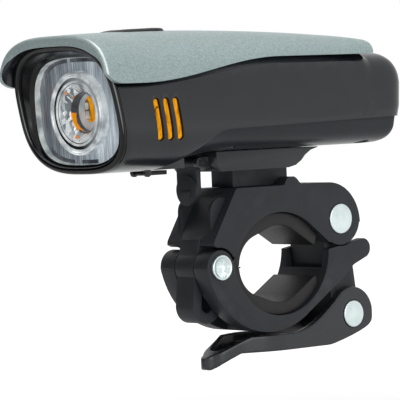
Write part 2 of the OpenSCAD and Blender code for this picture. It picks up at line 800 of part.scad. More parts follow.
module upper_jaw() {
    ear_t = 4;
    fin_t = 1.7;
    fin_y = half_w - 4.8;
    color([0.23, 0.235, 0.24]) difference() {
        union() {
            side(-half_w, half_w) upper_view();
            side(-strap_half, strap_half) strap_view();
            for (s = [-1, 1]) side(s > 0 ? half_w - ear_t : -half_w, s > 0 ? half_w : ear_t - half_w)
                polygon([[-1.4, jaw_top - 1], [-3.2, jaw_top + 1.9], [-3.9, jaw_top + 2.3], [-6, jaw_top + 2.3],
                    [-6.9, jaw_top + 1.8], [-9.6, jaw_top - 1]]);
            for (s = [-1, 1]) side(s > 0 ? fin_y : -fin_y - fin_t, s > 0 ? fin_y + fin_t : -fin_y) fin_view();
        }
        side(-link_half - slide_gap, link_half + slide_gap) link_sweep();
        cross(pin_a, pin_d/2, -big/2, big/2);
        for (s = [-1, 1]) cross(pin_a, head_r_a + 0.1, s > 0 ? half_w - head_sunk : -half_w - 5,
            s > 0 ? half_w + 5 : head_sunk - half_w);
        translate([base_screw_x, 0, jaw_top - 5.2]) cylinder(r = screw_r + run_gap, h = 10);
    }
}

module ring_view() {
    difference() {
        translate(ring_c) circle(ring_r, $fn = 128);
        translate([ring_end - 50, -60]) square([50, 120]);
        translate([-20, 2.2]) square([80, 60]);
        translate([pin_c[0], pin_c[1]]) square(60);
    }
}

module lower_jaw() {
    slot_half = strap_half + slide_gap;
    rear_half = link_half + slide_gap;
    color([0.23, 0.235, 0.24]) difference() {
        union() {
            side(-half_w, half_w) ring_view();
            cross(pin_c, knuckle_r, -half_w, half_w);
            side(-half_w, half_w) polygon([
                [ring_end + 0.1, ring_end_z], nose_c + [7.8, -7.8], nose_c + [4, -4.6], nose_c + [-1, 0.2 - nose_r],
                nose_c + [0, nose_r], [0.6 - seat_r, 2.8], [ring_end + 0.4, ring_end_z + 5]]);
            cross(nose_c, nose_r, -half_w, half_w);
        }
        side(-big/2, big/2) seat_view(false);
        cross(pin_a, lobe_r + lobe_gap, -big/2, big/2);
        side(-slot_half, slot_half) polygon([[9.5, 20], [9.5, -30], [60, -30], [60, 20]]);
        side(-rear_half, rear_half) polygon([
            [1.8 - seat_r, 20], [1.8 - seat_r, -1], [-1 - seat_r, -6], [-1 - seat_r, -30], [-60, -30], [-60, 20]]);
        cross(pin_c, pin_d/2, -big/2, big/2);
    }
}

// Clamp: rubber pads
pad_turn = 32;
pad_reach = 14;
pad_end = (bar_r - pad_reach*sin(pad_turn))/cos(pad_turn);
front_r = 8.9;
front_c = 6.5;
front_turn = acos((bar_r - front_r)/front_c);

module pad_view() {
    lip = front_c + front_r + 2;
    normal = [cos(front_turn), sin(front_turn)];
    flat = [-sin(pad_turn), cos(pad_turn)];
    difference() {
        intersection() {
            translate([0, -seat_drop]) circle(seat_r - seam, $fn = 128);
            polygon([[0.6 - pad_reach, pad_end - 1.3], [-pad_reach - 1.2, pad_end + 2.6], [-pad_reach - 1.2, 30],
                [lip, 30], [lip, 0.2], [0, 0.2]]);
        }
        circle(bar_r, $fn = 128);
        translate([front_c, 0]) circle(front_r, $fn = 96);
        polygon([bar_r*normal, [front_c, 0] + front_r*normal, [front_c, -5], [0, -5]]);
        polygon([[0, 0], bar_r*flat, bar_r*flat + 30*[-flat[1], flat[0]], [-30, -15], [0, -15]]);
    }
}

module upper_pad() {
    color([0.2, 0.2, 0.21]) side(pad_inset - half_w, half_w - pad_inset) pad_view();
}

module lower_pad() {
    color([0.2, 0.2, 0.21]) side(pad_inset - half_w, half_w - pad_inset) mirror([0, 1]) pad_view();
}

// Clamp: pins
module headed_pin(p, head_r, sunk) {
    seat = half_w - sunk + seam;
    cross(p, pin_d/2, -seat, seat);
    for (s = [-1, 1]) cross(p, head_r, s > 0 ? seat : -seat - head_t, s > 0 ? seat + head_t : -seat);
}

module link_pin() {
    color([0.86, 0.9, 0.9]) headed_pin(pin_a, head_r_a, head_sunk);
}

module lever_pin() {
    color([0.86, 0.9, 0.9]) headed_pin(pin_b, head_r_b, head_sunk);
}

module hinge_rivet() {
    color([0.8, 0.84, 0.85]) difference() {
        headed_pin(pin_c, head_r_c, 0);
        for (s = [-1, 1]) cross(pin_c, pin_d/2 - 0.7, s > 0 ? half_w - 4 : -half_w - 5, s > 0 ? half_w + 5 : 4 - half_w);
    }
}

// Clamp: link and lever
module toggle_link() {
    span = norm(pin_b - pin_a);
    color([0.19, 0.19, 0.2]) difference() {
        side(-link_half, link_half) {
            for (p = [pin_a, pin_b]) translate(p) circle(link_r);
            translate(pin_a) rotate(link_turn) translate([0, -link_r]) square([span, 2*link_r]);
        }
        for (p = [pin_a, pin_b]) cross(p, pin_d/2 + run_gap, -big/2, big/2);
    }
}

tip_x = pin_b[0] + lever_l;
arm_top = ring_c[1] - ring_r - 1;
arm_low = arm_top - lever_t;
tab_drop = 4.2;
tab_r = 2.2;
tab_web = 1.4;

// Smooth curve through points, from the second to the last but one
function curve(p) = concat([for (i = [1 : len(p) - 3], t = [0 : 0.25 : 0.75])
    let (a = p[i - 1], b = p[i], c = p[i + 1], d = p[i + 2])
    b + t*(c - a)/2 + t*t*(2*a - 5*b + 4*c - d)/2 + t*t*t*(3*b - a - 3*c + d)/2], [p[len(p) - 2]]);

module arm_view() {
    upper = curve([
        pin_b + [3, 8], pin_b + [5.6, 5.6], [pin_b[0] + 10.2, arm_top + 5.5], [pin_b[0] + 15.6, arm_top + 2.1],
        [-5.8, arm_top + 0.2], [0.1, arm_top], [6, arm_top]]);
    tip = curve([
        [tip_x + 0.4, arm_top - 2], [tip_x, arm_top - 5.6], [tip_x, arm_low - tab_drop + 1],
        [tip_x - 1.6, arm_low - tab_drop], [tip_x - 5, arm_low - 0.55*tab_drop], [tip_x - 10, arm_low],
        [tip_x - 14, arm_low + 2]]);
    polygon(concat(upper, [[tip_x - 13, arm_top]], tip, [[-17.5, arm_low], [pin_b[0], pin_b[1] - cam_r], pin_b]));
}

// A plan that is the same on both sides of the lamp's middle, from the points of one side
module mirrored(points) {
    polygon(concat(points, [for (i = [len(points) - 1 : -1 : 0]) [points[i][0], -points[i][1]]]));
}

module leaf_plan() {
    mirrored(concat([[pin_b[0] - 20, half_w]], curve([
        [tip_x - 28, half_w], [tip_x - 23, half_w], [tip_x - 18, half_w - 1.1], [tip_x - 14, half_w - 2.7],
        [tip_x - 10.7, half_w - 4.1], [tip_x - 7.7, half_w - 5.1], [tip_x - 4.1, half_w - 6.4],
        [tip_x - 0.8*tab_r, 0.9*tab_r], [tip_x, 0]])));
}

module hollow_plan() {
    mirrored(curve([[tip_x - 24, half_w - cheek_t], [tip_x - 19.4, half_w - cheek_t], [tip_x - 15, half_w - 3.8],
        [tip_x - 11, half_w - 5.5], [tip_x - 8, half_w - 6.5], [tip_x - 5.6, tab_r + 0.1], [tip_x - 4.6, 0.9],
        [tip_x - 4.4, -0.5]]));
}

module hollow_view() {
    polygon([[pin_b[0], arm_low + lever_web], [tip_x - 11, arm_low + lever_web],
        [tip_x - 4, arm_low + tab_web - 0.6*tab_drop], [tip_x - 4, 0], [pin_b[0], 0]]);
}

module under_head_view() {
    polygon(concat(curve([
        pin_b + [-8.2, -0.6], pin_b + [-7.3, -2.9], pin_b + [-4.9, -4.5], pin_b + [0.1, -6.2], pin_b + [5.9, -7.7],
        [-17.5, arm_low], [-10, arm_low]]),
        [[-17.5, arm_low - 20], [pin_b[0] - 20, arm_low - 20], [pin_b[0] - 20, pin_b[1] - 2.9]]));
}

module cam_lever() {
    inner = link_half + slide_gap;
    color([0.21, 0.215, 0.22]) difference() {
        union() {
            cross(pin_b, cam_r, -half_w, half_w);
            intersection() {
                side(-half_w, half_w) arm_view();
                translate([0, 0, -big/2]) linear_extrude(big) leaf_plan();
            }
            intersection() {
                side(-half_w, half_w) arm_view();
                translate([tip_x - tab_r, 0, -big/2]) cylinder(r = tab_r, h = big);
            }
        }
        side(-inner, inner) {
            translate(pin_b) circle(cam_r + lobe_gap);
            polygon([[pin_b[0], 10], [pin_b[0], pin_b[1] - cam_r - 5], [pin_b[0] - 20, pin_b[1] - cam_r - 5],
                [pin_b[0] - 20, 10]]);
            polygon([[pin_b[0], arm_low + lever_web], [tip_x - 19, arm_low + lever_web], [tip_x - 19, 0],
                [pin_b[0], 0]]);
        }
        intersection() {
            side(-half_w, half_w) hollow_view();
            translate([0, 0, -big/2]) linear_extrude(big) hollow_plan();
        }
        side(-big/2, big/2) under_head_view();
        cross(pin_b, pin_d/2, -big/2, big/2);
        for (s = [-1, 1]) cross(pin_b, head_r_b + 0.1, s > 0 ? half_w - head_sunk : -half_w - 5,
            s > 0 ? half_w + 5 : head_sunk - half_w);
    }
}

housing();
top_cover();
front_bezel();
lens_gasket();
front_lens();
optic_frame();
collimator();
led_board();
led_emitter();
heat_sink();
light_guide_left();
light_guide_right();
battery_cell();
battery_contacts();
main_board();
tact_switch();
charge_board();
usb_socket();
usb_cover();
belly_shell();
mount_shoe();
shell_screws();
shoe_screws();
power_button();
release_tongue();
tongue_pin();
rail_base();
base_screw();
upper_jaw();
upper_pad();
lower_jaw();
lower_pad();
hinge_rivet();
link_pin();
toggle_link();
lever_pin();
cam_lever();
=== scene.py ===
# Bike headlight on its handlebar clamp: finishes, fine shells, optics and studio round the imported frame.
import json
import math

import bmesh
import bpy
from mathutils import Matrix, Vector


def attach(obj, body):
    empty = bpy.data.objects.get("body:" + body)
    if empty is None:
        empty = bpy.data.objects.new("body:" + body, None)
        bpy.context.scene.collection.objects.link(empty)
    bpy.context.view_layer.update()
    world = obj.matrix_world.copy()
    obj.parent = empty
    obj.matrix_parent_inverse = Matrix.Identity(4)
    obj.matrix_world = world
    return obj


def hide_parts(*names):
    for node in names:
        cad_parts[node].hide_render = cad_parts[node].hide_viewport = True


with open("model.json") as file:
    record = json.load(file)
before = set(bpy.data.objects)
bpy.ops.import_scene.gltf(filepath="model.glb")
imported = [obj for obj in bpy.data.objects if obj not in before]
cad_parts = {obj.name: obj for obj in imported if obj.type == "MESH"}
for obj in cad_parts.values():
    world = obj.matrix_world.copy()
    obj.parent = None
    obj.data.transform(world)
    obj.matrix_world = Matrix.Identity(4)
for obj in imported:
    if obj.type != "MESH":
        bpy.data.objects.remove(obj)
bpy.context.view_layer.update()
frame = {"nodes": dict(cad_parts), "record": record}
cad = frame["nodes"]

# Shapes are worked out in millimetres and scaled on the way into a mesh
MM = 0.001

# Lamp, as in the solid model
LAMP_AHEAD = 68.2
LAMP_LENGTH = 110
REAR_X = LAMP_AHEAD - LAMP_LENGTH
FRONT_WIDTH = 45
REAR_WIDTH = 42.8
AXIS_Z = 46.5
BELLY_Z = 33.3
LEDGE_Z = 40.1
LEDGE_RISE = 1.5
BELLY_IN = 1.6
BELLY_WALL = 1.8
FRONT_DOWN = 17.6
REAR_DOWN = AXIS_Z - BELLY_Z + BELLY_IN
REAR_UP = 14
END_RADIUS = 6
WALL = 2.2
SEAM = 0.1
RAKE = math.tan(math.radians(12))
RIM_X = LAMP_AHEAD - 1.3
# Squareness of the tube's cut at its two ends, 2 being an ellipse
REAR_SQUARE = 4.5
FRONT_SQUARE = 2.9
# How far behind the front the tube starts to deepen and to lean, and over what length
DEEPEN_BACK = 44
DEEPEN_LENGTH = 22
LEAN_BACK = 40
LEAN_LENGTH = 30
# Rear end rounded in side view: its reach ahead, its curve, the heights of its crest and of the lowest point
# it follows, and its push to the rear at the crest
BULGE_LENGTH = 20
BULGE_CURVE = 0.018
BULGE_HEIGHT = 3
BULGE_LOWEST = -6
BULGE_OUT = 1.0
# Highest share of an arc's height at which an edge may start
STEEPEST = 0.98
# Reach of a cutting tool past everything
PAST_ALL = 60

# Cover with the visor
COVER_REAR = REAR_X + 12.5
CREST_X = LAMP_AHEAD - 30
VISOR_X = LAMP_AHEAD + 5
COVER_UP = 21.6
COVER_DROP = 3.4
COVER_WALL = 2.2
COVER_OVER_REAR = 1.2
COVER_OVER_FRONT = 2.2
# Thickness of the visor's lip at its crest and at its sides, and the rounding of its edge
VISOR_WALLS = (2.9, 1.5)
LIP_ROUND = 0.9
COVER_MIDDLE_Z = AXIS_Z + 3.2
EDGE_FRONT_Z = AXIS_Z + 6.9
EDGE_REAR_Z = AXIS_Z + 13.1
EDGE_CORNER = 6
CORNER_RISE = 4
REAR_CORNER = 2.5
REAR_CORNER_RISE = 1.5
# Wave of the lower edge: where it leaves the rear height, and over what length it falls
WAVE_X = 8
WAVE_LENGTH = 52
# How far the rear end is drawn in, and over what length
PULL_IN = 1.6
PULL_LENGTH = 2.4
# Squareness of the cover's cut, and what its rear end and its front add
COVER_SQUARES = (4, 2.3)
REAR_SQUARER = 4.5
FRONT_SQUARER = 0.9
# Step in the housing under the cover, and the gap under the cover's edge at the rear and the front
REBATE = 1.4
EDGE_GAPS = (2.0, 0.9)

# Window, optic and LED, in the window's own frame
LENS_X = LAMP_AHEAD - 4.2
LENS_Z = AXIS_Z - 0.1
LENS_LEAN = math.radians(3)
WINDOW_SQUARE = 3.1
WINDOW_HEIGHT = FRONT_DOWN + 1.0
BEZEL_LIP = 3.7
LIP_OUT = 1.0
PLATE_DEPTH = 1.0
OPTIC_OUT = 1.2
OPTIC_LOW = 0.6
OPTIC_RADIUS = 11.6
TUBE_FLOOR = 5.1
# Painted glow of the clear optic, standing in for the light it gathers from all round, as a share of its own
# colour
OPTIC_GLOW = 0.3

# Side slots, button and charging port
SLOT_X = LAMP_AHEAD - 17.8
SLOT_Z = AXIS_Z - 3.2
SLOT_PITCH = 3.5
# A little larger than in the solid, so that a dark edge shows round the amber
SLOT_WIDTH = 2.2
SLOT_HEIGHT = 12.1
SLOT_LEAN = math.radians(-11)
BUTTON_X = LAMP_AHEAD - 24
BUTTON_LENGTH = 20.5
BUTTON_WIDTH = 10
BUTTON_UP = 0.8
BUTTON_GAP = 0.35
PORT_X = LAMP_AHEAD - 29.7
PORT_SIZE = (7.6, 2.7)
# Pod round the port: half its width and its reach behind, its reach ahead, its height, the room round it
POD_HALF = 6.4
POD_AHEAD = 9.4
POD_HEIGHT = 5.9
POD_ROOM = 0.2
POD_Z = AXIS_Z - FRONT_DOWN + 0.2

# Front hinge of the clamp, half the clamp's width, and the belly's screws
PIN_C = (23.7, 0.5)
HALF_WIDTH = 10.3
SCREWS_AT = [(REAR_X + 11, 13), (LAMP_AHEAD - 46, 13)]


def mix(a, b, t):
    return a + (b - a) * t


def held(t):
    return min(1, max(0, t))


def smooth(t):
    t = held(t)
    return t * t * (3 - 2 * t)


def round_off(t):
    """Drop of a quarter circle: none at 0, all of it at 1."""
    return 1 - math.sqrt(1 - t * t)


def signed_power(v, p):
    return math.copysign(abs(v) ** p, v)


def superellipse(t, half, up, down, square):
    """Point (across, height) at angle t of a rounded rectangle with its own height above and below."""
    across = half * signed_power(math.cos(t), 2 / square)
    lift = signed_power(math.sin(t), 2 / square)
    return across, (up if lift > 0 else down) * lift


def cover_z(x):
    return AXIS_Z + COVER_UP - COVER_DROP * ((x - CREST_X) / (CREST_X - COVER_REAR)) ** 2


def along(x):
    return held((x - REAR_X) / LAMP_LENGTH)


def end_in(x):
    d = min(END_RADIUS, max(0, x - REAR_X))
    return END_RADIUS - math.sqrt(END_RADIUS**2 - (END_RADIUS - d) ** 2)


def tube_half(x):
    return mix(REAR_WIDTH, FRONT_WIDTH, along(x)) / 2


def tube_down(x):
    return mix(REAR_DOWN, FRONT_DOWN, smooth((x - LAMP_AHEAD + DEEPEN_BACK) / DEEPEN_LENGTH))


def tube_up(x):
    under_cover = cover_z(max(x, COVER_REAR)) - COVER_WALL - SEAM - AXIS_Z
    return mix(REAR_UP, under_cover, smooth((x - COVER_REAR - 0.5) / 4))


def tube_square(x):
    return mix(REAR_SQUARE, FRONT_SQUARE, smooth(along(x) * 1.25 - 0.25))


def tube_lean(x):
    return RAKE * smooth((x - LAMP_AHEAD + LEAN_BACK) / LEAN_LENGTH)


def tube_point(x, t, inset):
    """Point of the lamp's tube at station x and angle t, drawn in by inset."""
    inset += end_in(x)
    half, up, down = tube_half(x) - inset, tube_up(x) - inset, tube_down(x) - inset
    across, lift = superellipse(t, half, up, down, tube_square(x))
    rear = 1 - smooth((x - REAR_X) / BULGE_LENGTH)
    bulge = rear * (BULGE_CURVE * (max(lift, BULGE_LOWEST) - BULGE_HEIGHT) ** 2 - BULGE_OUT)
    return Vector((x + tube_lean(x) * lift + bulge, across, AXIS_Z + lift))


def tube_ring(x, inset, count=96):
    return [tube_point(x, 2 * math.pi * i / count, inset) for i in range(count)]


def cover_half(x):
    share = smooth((x - COVER_REAR) / (VISOR_X - COVER_REAR))
    return mix(REAR_WIDTH / 2 + COVER_OVER_REAR, FRONT_WIDTH / 2 + COVER_OVER_FRONT, share)


def cover_edge(x):
    """Height of the cover's lower edge: a wave down to the front, with a corner at each end."""
    front = CORNER_RISE * round_off(held((x - VISOR_X + EDGE_CORNER) / EDGE_CORNER))
    rear = REAR_CORNER_RISE * round_off(1 - held((x - COVER_REAR) / REAR_CORNER))
    return mix(EDGE_REAR_Z, EDGE_FRONT_Z, smooth((x - WAVE_X) / WAVE_LENGTH)) + front + rear


def cover_pull(x):
    """How far the cover's rear end is drawn in."""
    return PULL_IN * round_off(1 - held((x - COVER_REAR) / PULL_LENGTH))


def cover_arc(x, inset, count=56):
    """Arc of the cover's cut at station x, from its near lower edge over the crest to the far one."""
    pull = cover_pull(x)
    rear = 1 - smooth((x - COVER_REAR) / 14)
    up = cover_z(x) - COVER_MIDDLE_Z - 0.6 * pull - 0.8 * rear - inset
    half = cover_half(x) - pull - inset
    front = smooth((x - VISOR_X + 24) / 22)
    square = mix(*COVER_SQUARES, smooth((x - COVER_REAR) / 60))
    square += REAR_SQUARER * rear + FRONT_SQUARER * front
    start = math.asin(min(STEEPEST, (cover_edge(x) - COVER_MIDDLE_Z) / up) ** (square / 2))
    arc = []
    for i in range(count + 1):
        across, lift = superellipse(mix(start, math.pi - start, i / count), half, up, up, square)
        arc.append(Vector((x, across, COVER_MIDDLE_Z + lift)))
    return arc


def in_tube(p, grow):
    """True where a point lies inside the lamp's tube, which ends at the bezel's front, grown by grow."""
    x = p.x
    for _ in range(4):
        x = p.x - tube_lean(x) * (p.z - AXIS_Z)
    if x > LAMP_AHEAD + 0.25:
        return False
    lift = p.z - AXIS_Z
    height = (tube_up(x) if lift > 0 else tube_down(x)) - end_in(x) + grow
    half = tube_half(x) - end_in(x) + grow
    square = tube_square(x)
    return (abs(p.y) / half) ** square + (abs(lift) / height) ** square < 1


def beam_point(up, across, depth):
    """Point in the window's frame: up and across on its plane, depth behind it."""
    return Vector((
        LENS_X + math.sin(LENS_LEAN) * up - math.cos(LENS_LEAN) * depth,
        across,
        LENS_Z + math.cos(LENS_LEAN) * up + math.sin(LENS_LEAN) * depth,
    ))


def window_ring(depth, inset, count=96):
    ring = []
    for i in range(count):
        half, height = FRONT_WIDTH / 2 - inset, WINDOW_HEIGHT - inset
        across, lift = superellipse(2 * math.pi * i / count, half, height, height, WINDOW_SQUARE)
        ring.append(beam_point(lift, across, depth))
    return ring


# Meshes

def piece(name, points, faces):
    mesh = bpy.data.meshes.new(name)
    mesh.from_pydata([p * MM for p in points], [], faces)
    mesh.validate()
    made = bpy.data.objects.new(name, mesh)
    bpy.context.collection.objects.link(made)
    return made


def ring_faces(count, rings, closed):
    """Quads between neighbouring rings of count points, and back to the first ring where closed."""
    faces = []
    for k in range(rings if closed else rings - 1):
        a = k * count
        b = (k + 1) % rings * count
        for i in range(count):
            j = (i + 1) % count
            faces.append((a + i, a + j, b + j, b + i))
    return faces


def loft(name, rings, closed=False):
    """Skin through rings; open lofts get flat ends, closed ones run back into their first ring."""
    count = len(rings[0])
    faces = ring_faces(count, len(rings), closed)
    if not closed:
        last = (len(rings) - 1) * count
        faces.append(tuple(range(count - 1, -1, -1)))
        faces.append(tuple(range(last, last + count)))
    made = piece(name, [p for ring in rings for p in ring], faces)
    face_outward(made)
    return made


def face_outward(made):
    work = bmesh.new()
    work.from_mesh(made.data)
    bmesh.ops.recalc_face_normals(work, faces=work.faces)
    work.to_mesh(made.data)
    work.free()


def prism(name, outline, axis, start, end):
    """Outline of (a, b) pairs drawn from start to end along axis Y (a = X, b = Z) or Z (a = X, b = Y)."""
    def place(a, b, c):
        return Vector((a, c, b)) if axis == "Y" else Vector((a, b, c))
    return loft(name, [[place(a, b, c) for a, b in outline] for c in (start, end)])


def circle(radius, centre=(0, 0), count=48):
    turns = [2 * math.pi * i / count for i in range(count)]
    return [(centre[0] + radius * math.cos(t), centre[1] + radius * math.sin(t)) for t in turns]


def stadium(length, width, count=12):
    """Outline of a slot with round ends, its length along the second coordinate."""
    reach = (length - width) / 2
    outline = []
    for end in (1, -1):
        for i in range(count + 1):
            t = math.pi * i / count + (0 if end > 0 else math.pi)
            outline.append((width / 2 * math.cos(t), end * reach + width / 2 * math.sin(t)))
    return outline


def join(name, parts):
    """Several meshes as one object."""
    points, faces = [], []
    for part in parts:
        base = len(points)
        points += [v.co / MM for v in part.data.vertices]
        faces += [tuple(base + i for i in f.vertices) for f in part.data.polygons]
        bpy.data.objects.remove(part)
    return piece(name, points, faces)


def modify(made, name, kind, **settings):
    step = made.modifiers.new(name, kind)
    for key, value in settings.items():
        setattr(step, key, value)
    return step


def cut(made, tool, how="DIFFERENCE"):
    """Boolean with a tool that is used up."""
    modify(made, "cut", "BOOLEAN", operation=how, solver="EXACT", object=tool)
    seen = bpy.context.evaluated_depsgraph_get()
    mesh = bpy.data.meshes.new_from_object(made.evaluated_get(seen))
    made.modifiers.clear()
    made.data = mesh
    bpy.data.objects.remove(tool)


def feed(tree, socket, value):
    """Links a socket from another one, or sets its value, with full alpha where it is a colour."""
    if isinstance(value, bpy.types.NodeSocket):
        tree.links.new(value, socket)
    elif socket.type == "RGBA":
        socket.default_value = (*value, 1)
    else:
        socket.default_value = value


def add(tree, kind, values=None, **settings):
    """A node with its settings, and its inputs set from values or linked from sockets."""
    node = tree.nodes.new(kind)
    for key, value in settings.items():
        setattr(node, key, value)
    for key, value in (values or {}).items():
        feed(tree, node.inputs[key], value)
    return node


def build_smoothing():
    """Modifier group that shades faces smooth and keeps edges sharp above its angle."""
    tree = bpy.data.node_groups.new("smooth_by_angle", "GeometryNodeTree")
    tree.is_modifier = True
    tree.interface.new_socket("Geometry", in_out="INPUT", socket_type="NodeSocketGeometry")
    tree.interface.new_socket("Angle", in_out="INPUT", socket_type="NodeSocketFloat")
    tree.interface.new_socket("Geometry", in_out="OUTPUT", socket_type="NodeSocketGeometry")
    come = add(tree, "NodeGroupInput").outputs
    turn = add(tree, "GeometryNodeInputMeshEdgeAngle").outputs["Unsigned Angle"]
    below = add(tree, "FunctionNodeCompare", {"A": turn, "B": come["Angle"]}, operation="LESS_EQUAL")
    edges = add(tree, "GeometryNodeSetShadeSmooth", {
        "Geometry": come["Geometry"], "Shade Smooth": below.outputs["Result"]}, domain="EDGE")
    faces = add(tree, "GeometryNodeSetShadeSmooth", {"Geometry": edges.outputs["Geometry"]})
    add(tree, "NodeGroupOutput", {"Geometry": faces.outputs["Geometry"]})
    return tree


SMOOTHING = build_smoothing()


def shade(made, angle=35):
    step = modify(made, "smooth", "NODES", node_group=SMOOTHING)
    socket = [s for s in SMOOTHING.interface.items_tree if s.name == "Angle"][0]
    step[socket.identifier] = math.radians(angle)


def round_edges(made, radius, steps=3, angle=35):
    modify(made, "round", "BEVEL", width=radius * MM, segments=steps, limit_method="ANGLE",
           angle_limit=math.radians(angle), miter_outer="MITER_ARC", use_clamp_overlap=True)


def soften_node(name, radius):
    """Rounds the edges of a solid that stays as it is, and shades it smooth."""
    made = cad[name]
    modify(made, "weld", "WELD", merge_threshold=0.002 * MM)
    modify(made, "flat", "DECIMATE", decimate_type="DISSOLVE", angle_limit=math.radians(0.6))
    round_edges(made, radius)
    shade(made)


def cast_node(name, grid, rounds):
    """Gives a solid that stays as it is the soft, flowing edges of a casting."""
    made = cad[name]
    modify(made, "cells", "REMESH", mode="VOXEL", voxel_size=grid * MM)
    modify(made, "flow", "SMOOTH", factor=0.5, iterations=rounds)
    shade(made)


# Shader groups that several finishes share

def new_group(name, label, value, outputs):
    """Shader group that takes a place and one number, and gives out numbers."""
    tree = bpy.data.node_groups.new(name, "ShaderNodeTree")
    tree.interface.new_socket("Place", in_out="INPUT", socket_type="NodeSocketVector")
    tree.interface.new_socket(label, in_out="INPUT", socket_type="NodeSocketFloat").default_value = value
    for output in outputs:
        tree.interface.new_socket(output, in_out="OUTPUT", socket_type="NodeSocketFloat")
    return tree, tree.nodes.new("NodeGroupInput"), tree.nodes.new("NodeGroupOutput")


def maths(tree, how, a, b=0.0):
    return add(tree, "ShaderNodeMath", {0: a, 1: b}, operation=how).outputs[0]


def times(tree, first, *others):
    """Product of masks."""
    for other in others:
        first = maths(tree, "MULTIPLY", first, other)
    return first


def weighted(tree, a, share_a, b, share_b):
    """Sum of two values, each by its share."""
    return maths(tree, "ADD", times(tree, a, share_a), times(tree, b, share_b))


def spread(tree, value, low, high, to_low=0.0, to_high=1.0):
    """Value from low..high spread over to_low..to_high, and held there."""
    node = add(tree, "ShaderNodeMapRange", {
        "Value": value, "From Min": low, "From Max": high, "To Min": to_low, "To Max": to_high})
    return node.outputs["Result"]


def blend(tree, share, a, b, how="MIX"):
    node = add(tree, "ShaderNodeMix", data_type="RGBA", blend_type=how, clamp_factor=True)
    colours = [s for s in node.inputs if s.type == "RGBA"]
    for socket, value in ((node.inputs[0], share), (colours[0], a), (colours[1], b)):
        feed(tree, socket, value)
    return [s for s in node.outputs if s.type == "RGBA"][0]


def noise(tree, place, scale, detail=2.0, rough=0.5):
    values = {"Vector": place, "Scale": scale, "Detail": detail, "Roughness": rough}
    return add(tree, "ShaderNodeTexNoise", values).outputs["Fac"]


def stretched(tree, place, scale):
    return add(tree, "ShaderNodeMapping", {"Vector": place, "Scale": scale}).outputs["Vector"]


def ramp(tree, value, first, last, between):
    """Colours from first at 0 to last at 1, through (place, colour) pairs between."""
    node = add(tree, "ShaderNodeValToRGB", {"Fac": value})
    stops = node.color_ramp.elements
    stops[0].color = (*first, 1)
    stops[1].color = (*last, 1)
    for place, colour in between:
        stops.new(place).color = (*colour, 1)
    return node.outputs["Color"]


def build_moulded_grain():
    """Fine grain of moulded plastic or rubber: its height, and a slow change of tone."""
    tree, come, leave = new_group("moulded_grain", "Grain per metre", 2500.0, ["Height", "Tone"])
    place = come.outputs["Place"]
    size = come.outputs["Grain per metre"]
    pits = add(tree, "ShaderNodeTexVoronoi", {"Vector": place, "Scale": size}, feature="SMOOTH_F1")
    fine = noise(tree, place, times(tree, size, 1.7), 3.0)
    height = weighted(tree, pits.outputs["Distance"], 0.7, fine, 0.6)
    slow = noise(tree, place, 90.0, 3.0)
    tree.links.new(height, leave.inputs["Height"])
    tree.links.new(spread(tree, slow, 0.3, 0.7), leave.inputs["Tone"])
    return tree


def build_edge_wear_and_sheen():
    """Mask of edges made lighter: partly wear, partly a painted highlight."""
    tree, come, leave = new_group("edge_wear_and_sheen", "Reach", 0.5, ["Rub"])
    point = add(tree, "ShaderNodeNewGeometry").outputs["Pointiness"]
    edge = spread(tree, point, 0.52, 0.62)
    patch = spread(tree, noise(tree, come.outputs["Place"], 260.0, 4.0), 0.42, 0.66)
    tree.links.new(times(tree, edge, patch, come.outputs["Reach"]), leave.inputs["Rub"])
    return tree


def build_paint_fleck():
    """Tiny bright and dark flakes of metallic paint."""
    tree, come, leave = new_group("paint_fleck", "Flakes per metre", 3600.0, ["Fleck", "Height"])
    flakes = add(tree, "ShaderNodeTexVoronoi", {
        "Vector": come.outputs["Place"], "Scale": come.outputs["Flakes per metre"]})
    tint = add(tree, "ShaderNodeSeparateColor", {"Color": flakes.outputs["Color"]})
    cloud = noise(tree, come.outputs["Place"], 900.0, 3.0)
    tree.links.new(weighted(tree, tint.outputs[0], 0.65, cloud, 0.35), leave.inputs["Fleck"])
    tree.links.new(tint.outputs[1], leave.inputs["Height"])
    return tree


def build_brushing():
    """Fine marks drawn along a pin's axis, and a slow change of tone."""
    tree, come, leave = new_group("brushing", "Lines per metre", 3000.0, ["Height", "Tone"])
    place = come.outputs["Place"]
    lines = noise(tree, stretched(tree, place, (1.0, 0.05, 1.0)), come.outputs["Lines per metre"], 3.0)
    slow = noise(tree, place, 400.0, 2.0)
    tree.links.new(lines, leave.inputs["Height"])
    tree.links.new(spread(tree, slow, 0.3, 0.7), leave.inputs["Tone"])
    return tree


GRAIN = build_moulded_grain()
EDGE_WEAR_AND_SHEEN = build_edge_wear_and_sheen()
FLECK = build_paint_fleck()
BRUSHING = build_brushing()


